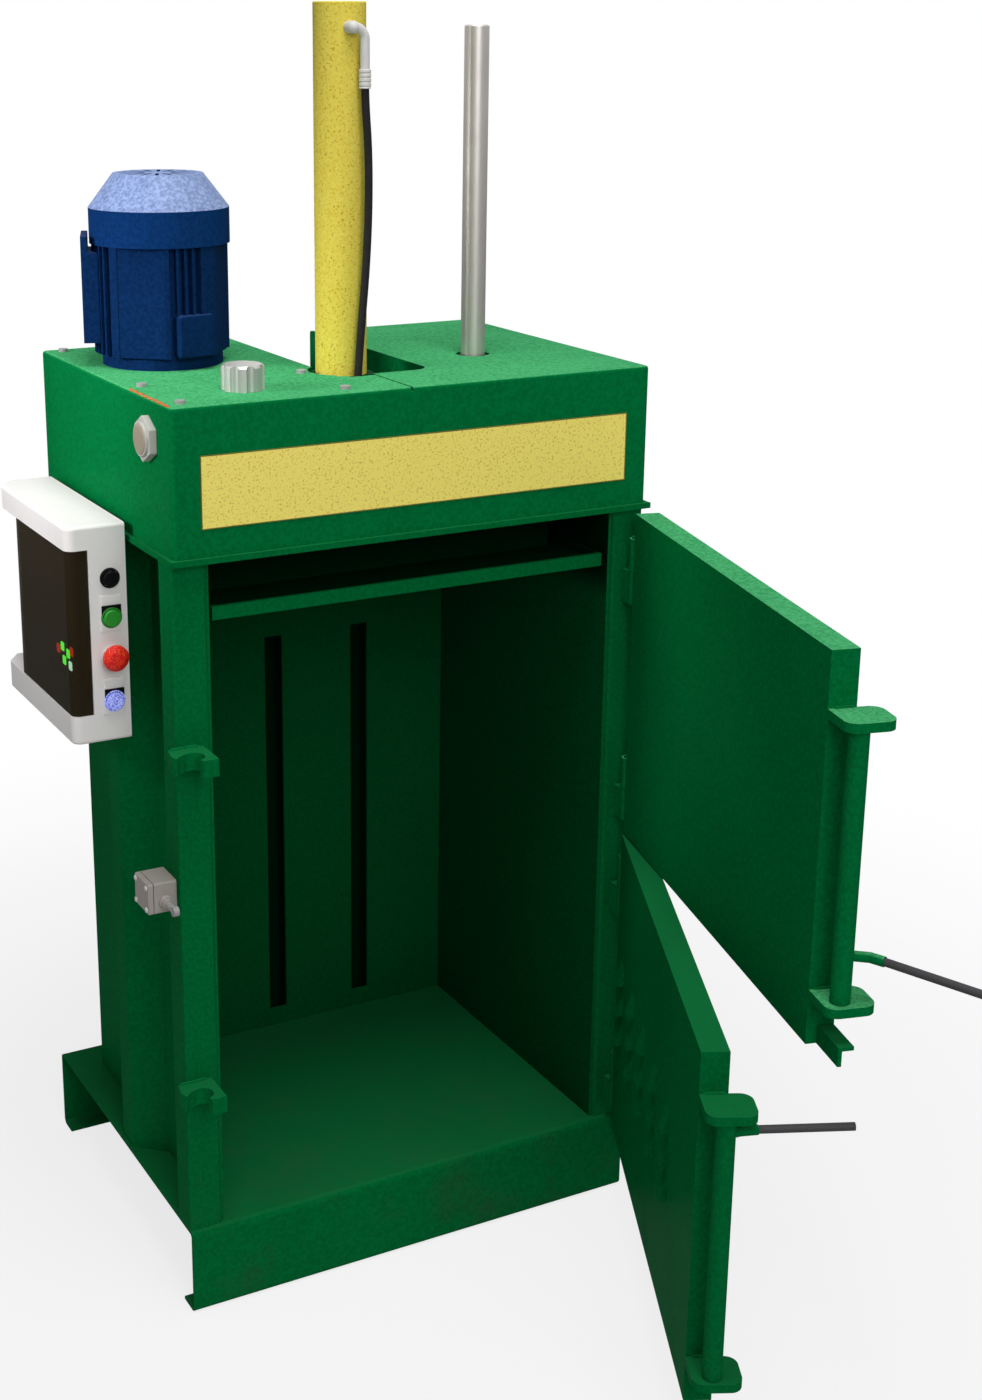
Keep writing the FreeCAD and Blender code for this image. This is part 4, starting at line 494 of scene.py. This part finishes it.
def loop_faces(rows, columns, start):
    """The same for a grid that runs round in both directions, so that it has no ends to close."""
    row, column = np.meshgrid(np.arange(rows), np.arange(columns), indexing="ij")
    after, above = (column + 1) % columns, (row + 1) % rows
    quads = np.stack([row * columns + column, row * columns + after, above * columns + after,
                      above * columns + column], -1)
    return (start + quads).reshape(-1, 4).tolist()


def joined(grids, loop):
    """Put several grids of points into one list of points and one of faces."""
    points, faces, start = [], [], 0
    for grid in grids:
        rows, columns = grid.shape[:2]
        ends = np.zeros((0, 3)) if loop else np.stack([grid[0].mean(0), grid[-1].mean(0)])
        points.append(np.concatenate([grid.reshape(-1, 3), ends]))
        faces += (loop_faces if loop else ring_faces)(rows, columns, start)
        start += len(points[-1])
    return np.concatenate(points), faces


def piece(name, grids, finish, body=BODY, smooth=True, loop=False):
    """Make an object from grids of points, give it its finish, and let it ride on a body."""
    points, faces = joined(grids, loop)
    mesh = bpy.data.meshes.new(name)
    mesh.from_pydata(points.tolist(), [], faces)
    mesh.polygons.foreach_set("use_smooth", [smooth] * len(mesh.polygons))
    mesh.materials.append(finish)
    thing = bpy.data.objects.new(name, mesh)
    bpy.context.scene.collection.objects.link(thing)
    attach(thing, body)
    print("%s has %d faces" % (name, len(faces)))
    return thing


# %% [markdown]
# Nearly every small fitting here was turned on a lathe, pressed from a plate or drawn as a tube. So
# three kinds of grid are enough: a profile turned about an axis, a plate with round corners, and
# rings along a path.

# %% Turned, pressed and drawn shapes
def frame_of(axis):
    """Two directions that stand square on the axis, so that the three make a right-handed set."""
    axis = np.array(axis, float)
    axis /= np.linalg.norm(axis)
    helper = np.array([0.0, 0.0, 1.0]) if abs(axis[2]) < 0.9 else np.array([1.0, 0.0, 0.0])
    first = np.cross(helper, axis)
    first /= np.linalg.norm(first)
    return first, np.cross(axis, first), axis


def turned_grid(centre, axis, profile, columns=48):
    """Point = centre + axis times height + radius times (cosine, sine) of the turn, for each
    (radius, height) of the profile."""
    first, second, along = frame_of(axis)
    radius, height = np.array(profile, float).T
    turn = np.linspace(0, 2 * np.pi, columns, endpoint=False)
    ring = np.cos(turn)[:, None] * first + np.sin(turn)[:, None] * second
    return np.array(centre) + height[:, None, None] * along + radius[:, None, None] * ring


def slab_grid(centre, across, up, size, corner, profile, columns=12):
    """A plate with round corners. Its outline is four quarter circles of radius corner less the
    inset, and each (inset, height) of the profile carries it along the plate's own normal."""
    across, up = np.array(across, float), np.array(up, float)
    normal = np.cross(across, up)
    inset, height = np.array(profile, float).T
    quarters = [np.linspace(start, start + 1, columns) for start in range(4)]
    turn = np.concatenate(quarters) * np.pi / 2
    sign_x = np.repeat([1, -1, -1, 1], columns)
    sign_y = np.repeat([1, 1, -1, -1], columns)
    core_x, core_y = size[0] / 2 - corner, size[1] / 2 - corner
    radius = corner - inset[:, None]
    x = sign_x * core_x + radius * np.cos(turn)
    y = sign_y * core_y + radius * np.sin(turn)
    flat = np.array(centre) + x[..., None] * across + y[..., None] * up
    return flat + height[:, None, None] * normal


def edge(height, soft):
    """A plate's profile: flat back, upright side and an edge rounded with the radius soft."""
    turn = np.linspace(0, np.pi / 2, 5)
    bend = np.stack([soft * (1 - np.cos(turn)), height - soft + soft * np.sin(turn)], -1)
    return [(0, 0)] + bend.tolist()


def tube_grid(path, radius, columns):
    """Point = path + radius times (cosine, sine) of the turn, in the plane square to the path. The
    radius is one number for each point of the path."""
    along = np.gradient(path, axis=0)
    along /= np.linalg.norm(along, axis=1)[:, None]
    helper = np.where(np.abs(along[:, 2:3]) < 0.9, [[0.0, 0.0, 1.0]], [[1.0, 0.0, 0.0]])
    first = np.cross(helper, along)
    first /= np.linalg.norm(first, axis=1)[:, None]
    second = np.cross(along, first)
    turn = np.linspace(0, 2 * np.pi, columns, endpoint=False)[None, :, None]
    ring = np.cos(turn) * first[:, None] + np.sin(turn) * second[:, None]
    return path[:, None] + ring * radius[:, None, None]


sample = turned_grid((0, 0, 0), UP, [(1, 0)])
print("a turned shape has %d points round its axis" % sample.shape[1])

# %% [markdown]
# The pressure hose is rubber over steel wire. It leaves the silver elbow near the cylinder's top,
# bows a little to the right and goes into the port block in the bay. Straight runs with bends would
# look like wire. A NURBS curve only leans towards its points, so it bends softly everywhere, as a
# stiff hose does.

# %% Pressure hose
HOSE_Y = -0.17625
HOSE_ROUTE = [(-0.0285, 1.756), (-0.0285, 1.722), (-0.0232, 1.655), (-0.0228, 1.580),
              (-0.0265, 1.500), (-0.0355, 1.405), (-0.0425, 1.310), (-0.0445, 1.250),
              (-0.0445, 1.200)]
HOSE_DIAMETER = 0.011
WIRE_UP, WIRE_ACROSS = 900, 500


def braided_rubber(name):
    """Rubber with the faint basket of the wire under it: two sets of slanting waves, added up."""
    recipe = Recipe(name)
    across, _, up = recipe.axes()
    rising = (up * WIRE_UP + across * WIRE_ACROSS).sine() * 0.5
    falling = (up * WIRE_UP - across * WIRE_ACROSS).sine() * 0.5
    cloud = recipe.noise(60, 3)
    base = recipe.mix(cloud, (0.012, 0.012, 0.013), (0.028, 0.027, 0.026))
    return recipe.finish(Base_Color=base, Roughness=cloud * 0.15 + 0.45, Specular_IOR_Level=0.05,
                         Normal=recipe.bump(rising + falling, 0.00008))


curve = bpy.data.curves.new("hose_line", "CURVE")
curve.dimensions = "3D"
curve.bevel_depth = HOSE_DIAMETER / 2
curve.bevel_resolution = 6
curve.resolution_u = 24
spline = curve.splines.new("NURBS")
spline.points.add(len(HOSE_ROUTE) - 1)
spline.points.foreach_set("co", [part for x, z in HOSE_ROUTE for part in (x, HOSE_Y, z, 1.0)])
spline.order_u = 3
spline.use_endpoint_u = True
curve.materials.append(braided_rubber("braided_rubber"))
hose = bpy.data.objects.new("hose_line", curve)
bpy.context.scene.collection.objects.link(hose)
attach(hose, BODY)
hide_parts("pressure_hose")
print("the hose follows %d points" % len(HOSE_ROUTE))

# %% [markdown]
# A pressed steel collar holds the hose on its elbow. The press leaves four narrow grooves. A plain
# sleeve with a bump would have a straight outline, so the profile's radius itself dips.

# %% Crimp
CRIMP_TOP, CRIMP_LENGTH, CRIMP_RADIUS, CRIMP_MOUTH = 1.7605, 0.026, 0.0084, 0.0062
GROOVE_DEPTH, GROOVE_WAVES = 0.0011, 4.5
height = np.linspace(0, CRIMP_LENGTH, 53)
wave = np.cos(height / CRIMP_LENGTH * 2 * np.pi * GROOVE_WAVES)
radius = CRIMP_RADIUS - np.clip(wave - 0.3, 0, 1) * GROOVE_DEPTH
radius[[0, -1]] = CRIMP_MOUTH
crimp = turned_grid((HOSE_ROUTE[0][0], HOSE_Y, CRIMP_TOP), DOWN, np.stack([radius, height], -1))
piece("crimp_top", [crimp], zinc)

# %% [markdown]
# The motor's frame is an iron casting. Thin fins stand between plain bands, and two flat pads and a
# boss take the feet of other mountings. Each fin could be a plate of its own, set round in a ring.
# Seen from above, the casting's whole outline is a radius for each angle, so it is listed by angle
# and carried straight up.

# %% Motor frame
MOTOR = (-0.242, 0.0551)
CORE, FIN, PAD = 0.0870, 0.0980, 0.0965
PITCH = 7.2
LEVELS = np.array([1.364, 1.4, 1.45, 1.5, 1.5183])
FOOT_Z = 1.346
FOOT = [(CORE, 0), (CORE, 0.001), (CORE, 0.012), (0.0855, 0.0155), (0.0845, 0.0178)]
BOSS_TURN, BOSS_OUT, BOSS_Z, BOSS_THICK = np.radians(-82.0), 0.076, 1.395, 0.0260
BOSS_SIZE = (0.0555, 0.060)
FIN_SHAPE = np.array([-1.5, -1.1, 1.1, 1.5]), np.array([CORE, FIN, FIN, CORE])


def fins(start, finish):
    """Evenly spaced fins with a groove on each side: two points at each fin's foot and two at its
    tip."""
    count = int(round((finish - start) / PITCH)) - 1
    middle = start + (finish - start) * np.arange(1, count + 1) / (count + 1)
    offsets, radii = FIN_SHAPE
    tips = np.stack([(middle[:, None] + offsets).ravel(), np.tile(radii, count)], -1)
    return np.concatenate([[(start, CORE)], tips, [(finish, CORE)]])


def band(start, finish):
    """A smooth stretch at the fins' own radius, six points from angle to angle."""
    turn = np.linspace(start, finish, 6)
    return np.stack([turn, np.full(6, FIN)], -1)


def flat_pad(start, finish):
    """A straight chord between two angles."""
    return np.array([(start, PAD), (finish, PAD)])


outline = np.concatenate([
    fins(-202, -158.4), band(-158, -149.5), flat_pad(-149, -108.6), band(-108.2, -103.9),
    fins(-103.5, -76.1), band(-75.7, -58.5), flat_pad(-58, -14.5), band(-14, -5),
    fins(-4.6, 45.6), band(46, 54), flat_pad(54.5, 95.5), band(96, 104), fins(104.4, 157.6)])
turn, radius = np.radians(outline[:, 0]), outline[:, 1]
x, y = MOTOR[0] + radius * np.cos(turn), MOTOR[1] + radius * np.sin(turn)
casting_grid = np.stack(np.broadcast_arrays(x[None], y[None], LEVELS[:, None]), -1)
foot = turned_grid((*MOTOR, FOOT_Z), UP, FOOT, 96)
outward = np.array([np.cos(BOSS_TURN), np.sin(BOSS_TURN), 0])
sideways = np.array([-np.sin(BOSS_TURN), np.cos(BOSS_TURN), 0])
boss = slab_grid(np.array([*MOTOR, BOSS_Z]) + outward * BOSS_OUT, sideways, UP, BOSS_SIZE, 0.005,
                 edge(BOSS_THICK, 0.003))
motor = piece("motor_frame", [casting_grid, foot, boss], blue, smooth=False)
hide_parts("motor_housing")
rounding = motor.modifiers.new("soft_edges", "BEVEL")
rounding.width = 0.0009
rounding.segments = 2
rounding.limit_method = "ANGLE"
rounding.angle_limit = math.radians(35)
print("the motor frame has %d outline points" % len(outline))

# %% [markdown]
# The limit switch tells the controls that the door is shut. It is a small die-cast box. Its lid
# faces outwards, held by four screws, with a dark seal in the joint. One block with a painted line
# would not catch the light at the joint, so the case, the lid and the seal between them are plates
# of their own.

# %% Limit switch
SWITCH_LOW, SWITCH_HIGH = 0.638, 0.6835
SWITCH_FRONT, SWITCH_DEPTH = -0.276, 0.053
CASE_THICK, SEAL_THICK, LID_THICK = 0.0335, 0.0020, 0.0075
SEAL_OUT, LID_OUT, SCREW_OUT = 0.0330, 0.0345, 0.0419
SCREW_INSET, CORNER = 0.0065, 0.003
SPOUT_OUT, SPOUT_Z = 0.017, 0.655
SPOUT = [(0.0095, 0), (0.0095, 0.005), (0.0085, 0.006), (0.0075, 0.0065), (0.0072, 0.012),
         (0.0062, 0.0128)]
SCREW_HEAD = [(0.0040, 0), (0.0040, 0.0010), (0.0036, 0.0019), (0.0024, 0.0025), (0.0010, 0.0027)]
back_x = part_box("limit_switch")[1].x
switch_height = SWITCH_HIGH - SWITCH_LOW
mid_y, mid_z = SWITCH_FRONT + SWITCH_DEPTH / 2, (SWITCH_LOW + SWITCH_HIGH) / 2


def switch_plate(out, thick, soft, shrink=0.0):
    """A plate of the switch's outline less shrink, whose back lies out from the wall by the given
    distance."""
    return slab_grid((back_x - out, mid_y, mid_z), FORWARD, UP,
                     (SWITCH_DEPTH - shrink, switch_height - shrink), CORNER, edge(thick, soft))


case = switch_plate(0, CASE_THICK, 0.0006)
lid = switch_plate(LID_OUT, LID_THICK, 0.002)
spout = turned_grid((back_x - SPOUT_OUT, SWITCH_FRONT + 0.001, SPOUT_Z), FORWARD, SPOUT)
switch = piece("switch_case", [case, lid, spout], switch_grey, smooth=False)
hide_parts("limit_switch")
seal = switch_plate(SEAL_OUT, SEAL_THICK, 0.0003, 0.002)
piece("switch_seal", [seal], black_rubber)
to_side, to_top = SWITCH_DEPTH / 2 - SCREW_INSET, switch_height / 2 - SCREW_INSET
screws = [turned_grid((back_x - SCREW_OUT, mid_y + y, mid_z + z), LEFTWARD, SCREW_HEAD, 20)
          for y in (-to_side, to_side) for z in (-to_top, to_top)]
piece("switch_screws", screws, zinc)
print("the switch box is %.1f mm high" % (1000 * switch_height))

# %% [markdown]
# Two of the push buttons sit in holders: a pale plate with a bare field above the button and a dark
# hollow behind it. Three buttons have a ring over the bezel. Each is placed from its button's own
# box, and not from a list of places, so that it stays round its button.

# %% Button holders and rings
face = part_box("enclosure_housing")[0].y + 0.003
RING = [(0.0005, 0), (0.0033, 0), (0.0033, 0.0026), (0.0028, 0.0034), (0.0012, 0.0036),
        (0.0005, 0.0033)]


def holder_plate(node, in_front, above, size, corner, thick, soft):
    """A plate on the enclosure's face, given by how far it lies in front of the face and above the
    button."""
    low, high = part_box(node)
    middle = ((low.x + high.x) / 2, face - in_front, (low.z + high.z) / 2 + above)
    return slab_grid(middle, RIGHT, UP, size, corner, edge(thick, soft))


def holder(name, node):
    """A pale plate round the button, a dark field behind its upper half and a bare plate on top."""
    pale = [holder_plate(node, 0, 0.0065, (0.0315, 0.053), 0.0025, 0.0022, 0.0008),
            holder_plate(node, 0.0020, 0.0250, (0.0275, 0.0120), 0.001, 0.0009, 0.0003)]
    piece(name + "_holder", pale, pale_plastic)
    dark = [holder_plate(node, 0.0016, 0.0095, (0.0285, 0.0170), 0.001, 0.0018, 0.0003)]
    piece(name + "_hollow", dark, black_plastic)


def button_ring(node, finish):
    """A ring whose (distance from the button, height) runs round a small rounded square."""
    low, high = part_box(node)
    radius = (high.x - low.x) / 2
    ring = turned_grid(((low.x + high.x) / 2, face, (low.z + high.z) / 2), FORWARD,
                       [(radius + out, height) for out, height in RING])
    piece(node + "_ring", [ring], finish, loop=True)


holder("green", "button_green")
holder("blue", "button_blue")
button_ring("button_black", black_plastic)
button_ring("button_green", green_plastic)
button_ring("button_blue", blue_plastic)

# %% [markdown]
# Lamps glow behind the smoked window, on a small board at the relay's face: three green, one white
# and two red. Real lights would brighten the whole enclosure. These are small plates whose own
# finish glows.

# %% Lamps behind the window
def glow(name, colour, strength):
    """A plate that shines with its own colour, a little unevenly."""
    recipe = Recipe(name)
    shine = recipe.mix(recipe.noise(300, 1) * 0.3, colour, darker(colour, 0.7))
    return recipe.finish(Base_Color=colour, Emission_Color=shine, Emission_Strength=strength,
                         Roughness=0.4)


relay_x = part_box("control_modules")[0].x
BOARD_PLACE, BOARD_SIZE = (relay_x + 0.0018, -0.085, 0.968), (0.076, 0.052)
LAMP_SIZE = (0.0120, 0.0125)
LAMPS = [
    ("lamp_green", glow("green_glow", (0.10, 0.85, 0.05), 34.0),
     [(-0.0745, 0.9775), (-0.0806, 0.9586), (-0.0985, 0.9730)]),
    ("lamp_white", glow("white_glow", (0.6, 1.0, 0.65), 24.0), [(-0.1066, 0.9573)]),
    ("lamp_red", glow("red_glow", (0.9, 0.04, 0.01), 13.0), [(-0.0560, 0.9700), (-0.1140, 0.9799)])]
board = slab_grid(BOARD_PLACE, FORWARD, UP, BOARD_SIZE, 0.002, edge(0.0020, 0.0005))
piece("lamp_board", [board], module_grey)
for name, finish, places in LAMPS:
    plates = [slab_grid((relay_x, y, z), FORWARD, UP, LAMP_SIZE, 0.002, edge(0.0016, 0.0006), 5)
              for y, z in places]
    piece(name, plates, finish)

# %% [markdown]
# Three small things finish the head. A collar seals the foot of the cylinder. A bead of orange
# sealant has crept out along the cover's left edge: a straight thread would look drawn on, so its
# place and its width waver. The level gauge has a domed sight glass.

# %% Collar, sealant and sight glass
COLLAR_FOOT = (-0.043, -0.128, 1.325)
COLLAR = [(0.0371, 0), (0.0472, 0), (0.0472, 0.0150), (0.0460, 0.0166), (0.0405, 0.0172),
          (0.0371, 0.0172)]
# The collar's much darker green is painted shade, where it stands low in the cover's opening.
dark_green = enamel("shaded_enamel", ((0.0006, 0.060, 0.018), (0.0004, 0.040, 0.012)), dust_and_highlight=0.0)
collar = turned_grid(COLLAR_FOOT, UP, COLLAR, 96)
piece("cylinder_collar", [collar], dark_green, loop=True)

SEALANT_X, SEALANT_Z = -0.3663, 1.3462
SEALANT_FROM, SEALANT_TO = -0.288, -0.142
along = np.linspace(SEALANT_FROM, SEALANT_TO, 60)
wander = 0.0006 * np.sin(along * 260) + 0.0004 * np.sin(along * 611 + 1)
width = 0.0017 + 0.0005 * np.sin(along * 340 + 0.7) + 0.0003 * np.sin(along * 905)
width[[0, -1]] = 0.0003
bead = np.stack([SEALANT_X + wander, along, np.full_like(along, SEALANT_Z)], -1)
sealant = plastic("orange_sealant", (0.50, 0.14, 0.025), 0.5)
piece("sealant_bead", [tube_grid(bead, width, 10)], sealant)

GAUGE_Y, GAUGE_Z = -0.220, 1.294
DOME = [(0.0210, 0), (0.0210, 0.0010), (0.0202, 0.0016), (0.0150, 0.0021), (0.0070, 0.0024),
        (0.0010, 0.0025)]
gauge_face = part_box("level_gauge")[0].x + 0.0005
sight = plastic("sight_glass", (0.31, 0.265, 0.20), 0.3, 0.00003, 700, gloss=0.1)
glass = turned_grid((gauge_face, GAUGE_Y, GAUGE_Z), LEFTWARD, DOME)
piece("gauge_glass", [glass], sight)

# %% [markdown]
# Weld beads are rows of small overlapping ripples, which the enamel covers but does not hide. Each
# follows a corner between two plates. A plain round thread would look like wire, so its radius
# rises and falls a few times in each centimetre. A door's beads are given as if the door was shut
# and turned to where it stands open.

# %% Weld beads
WELD_RADIUS, WELD_PITCH, WELD_TAPER = 0.0026, 0.0042, 0.006
HINGE = (0.347, -0.312)
HOOK_INSET = 0.004
DOOR_EDGE, LUG_THICK = -0.679, 0.012
LUG_FRONT, LUG_BACK = -0.030, 0.002
UPPER_DOOR_OPEN, LOWER_DOOR_OPEN = 75.3, 64.4
UPPER_LUGS, LOWER_LUGS = (0.695, 1.052), (0.189, 0.563)


def weld(start, end):
    """Radius times (1 + 0.12 times the cosine of the place along it), and thinner at both ends."""
    start, end = np.array(start, float), np.array(end, float)
    length = np.linalg.norm(end - start)
    place = np.linspace(0, length, max(8, int(length / WELD_PITCH * 4)))
    ripple = 1 + 0.12 * np.cos(2 * np.pi * place / WELD_PITCH)
    thin = np.clip(np.minimum(place, length - place) / WELD_TAPER, 0.25, 1)
    path = start + (end - start) * (place / length)[:, None]
    return tube_grid(path, WELD_RADIUS * ripple * thin, 8)


def welds(name, lines, body=BODY):
    """One piece of several beads, each given by its two ends."""
    piece(name, [weld(*line) for line in lines], sheltered_green, body)


def door_point(angle, x, y, z):
    """The point (x, y) from the hinge, turned about it by the angle."""
    c, s = math.cos(math.radians(angle)), math.sin(math.radians(angle))
    return HINGE[0] + x * c - y * s, HINGE[1] + x * s + y * c, z


lines = []
for node in ("hook_upper", "hook_lower"):
    low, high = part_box(node)
    left, right = low.x + HOOK_INSET, high.x - HOOK_INSET
    lines += [((left, high.y, z), (right, high.y, z)) for z in (low.z, high.z)]
welds("hook_welds", lines)
for name, angle, lugs, body in (("upper_door_welds", UPPER_DOOR_OPEN, UPPER_LUGS, "upper_door"),
                                ("lower_door_welds", LOWER_DOOR_OPEN, LOWER_LUGS, "lower_door")):
    lines = [(door_point(angle, DOOR_EDGE, LUG_FRONT, z), door_point(angle, DOOR_EDGE, LUG_BACK, z))
             for lug in lugs for z in (lug, lug + LUG_THICK)]
    welds(name, lines, body)

# %% [markdown]
# The stage is a pale floor that fades into a white background, as in a studio. A brighter world
# would whiten the background too, but it would bleach the steel. So the world has two strengths:
# plain light for the steel, and white only for rays from the camera, or from gloss and glass.

# %% World
WHITE = (1, 1, 1, 1)
PLAIN_LIGHT, WHITE_BACKGROUND = 0.215, 1.0
world = bpy.data.worlds.new("studio")
bpy.context.scene.world = world
world.use_nodes = True
tree = world.node_tree
tree.nodes.clear()
out = tree.nodes.new("ShaderNodeOutputWorld")
mixer = tree.nodes.new("ShaderNodeMixShader")
for place, strength in ((1, PLAIN_LIGHT), (2, WHITE_BACKGROUND)):
    background = tree.nodes.new("ShaderNodeBackground")
    background.inputs["Color"].default_value = WHITE
    background.inputs["Strength"].default_value = strength
    tree.links.new(background.outputs[0], mixer.inputs[place])
rays = tree.nodes.new("ShaderNodeLightPath")
seen = rays.outputs["Is Camera Ray"]
for kind in ("Is Glossy Ray", "Is Transmission Ray"):
    either = tree.nodes.new("ShaderNodeMath")
    either.operation = "MAXIMUM"
    tree.links.new(seen, either.inputs[0])
    tree.links.new(rays.outputs[kind], either.inputs[1])
    seen = either.outputs[0]
tree.links.new(seen, mixer.inputs[0])
tree.links.new(mixer.outputs[0], out.inputs[0])
print("the world's plain light is %.3f" % PLAIN_LIGHT)


# %% [markdown]
# Three soft lamps light the steel. One hangs above, a large one stands in front, and a small weak
# one brightens the head's left side. A single lamp would leave the chamber black.

# %% Lamps
def lamp(name, place, target, power, size, spread=120):
    """A square lamp of the given size and power in watts, turned from its place to the target."""
    data = bpy.data.lights.new(name, "AREA")
    data.energy = power
    data.size = size
    data.spread = math.radians(spread)
    thing = bpy.data.objects.new(name, data)
    bpy.context.scene.collection.objects.link(thing)
    thing.location = place
    thing.visible_camera = False
    thing.rotation_euler = (Vector(target) - Vector(place)).to_track_quat("-Z", "Y").to_euler()
    print("lamp %s has %.1f W" % (name, power))


lamp("above", (-0.3, -0.9, 4.2), (-0.1, 0, 1.0), 31, 1.6)
lamp("side", (-1.5, 0.0, 1.75), (-0.37, 0, 1.33), 1.3, 0.4, 44)
lamp("front", (-0.7, -3.75, 2.9), (0.05, 0, 1.05), 29.5, 2.4)


# %% [markdown]
# The floor keeps the machine's soft shadow, and has to end without an edge. A curved backdrop would
# do that for one view only. Here the floor is a wide square that glows white for camera rays, more
# with each step away from the machine, so it melts into the background from every side.

# %% Floor
FLOOR_HALF = 60
FADE_FROM, FADE_TO = 0.6, 2.2
SHARE_NEAR, SHARE_ADDED = 0.78, 0.22


def ground():
    """The share of white is 0.78 within 0.6 m of the middle and 1 from 2.2 m on."""
    corners = [(x * FLOOR_HALF, y * FLOOR_HALF, 0) for x, y in ((-1, -1), (1, -1), (1, 1), (-1, 1))]
    mesh = bpy.data.meshes.new("ground")
    mesh.from_pydata(corners, [], [(0, 1, 2, 3)])
    floor = bpy.data.objects.new("ground", mesh)
    bpy.context.scene.collection.objects.link(floor)
    recipe = Recipe("pale_floor")
    across, along, _ = recipe.axes()
    distance = (across * across + along * along) ** 0.5
    white = recipe.node("ShaderNodeEmission", {"Color": WHITE, "Strength": 1.0}, 0)
    camera_ray = recipe.node("ShaderNodeLightPath", {}, "Is Camera Ray")
    share = camera_ray * (distance.ramp(FADE_FROM, FADE_TO) * SHARE_ADDED + SHARE_NEAR)
    recipe.finish(Base_Color=(0.8, 0.8, 0.8), Roughness=0.9, Specular_IOR_Level=0.1)
    shader = Value(recipe, recipe.shader.outputs[0])
    mixed = recipe.node("ShaderNodeMixShader", {0: share, 1: shader, 2: white}, 0)
    recipe.tree.links.new(mixed.socket, recipe.tree.nodes["Material Output"].inputs["Surface"])
    mesh.materials.append(recipe.material)
    return floor


ground()
print("the floor is %d m wide" % (2 * FLOOR_HALF))
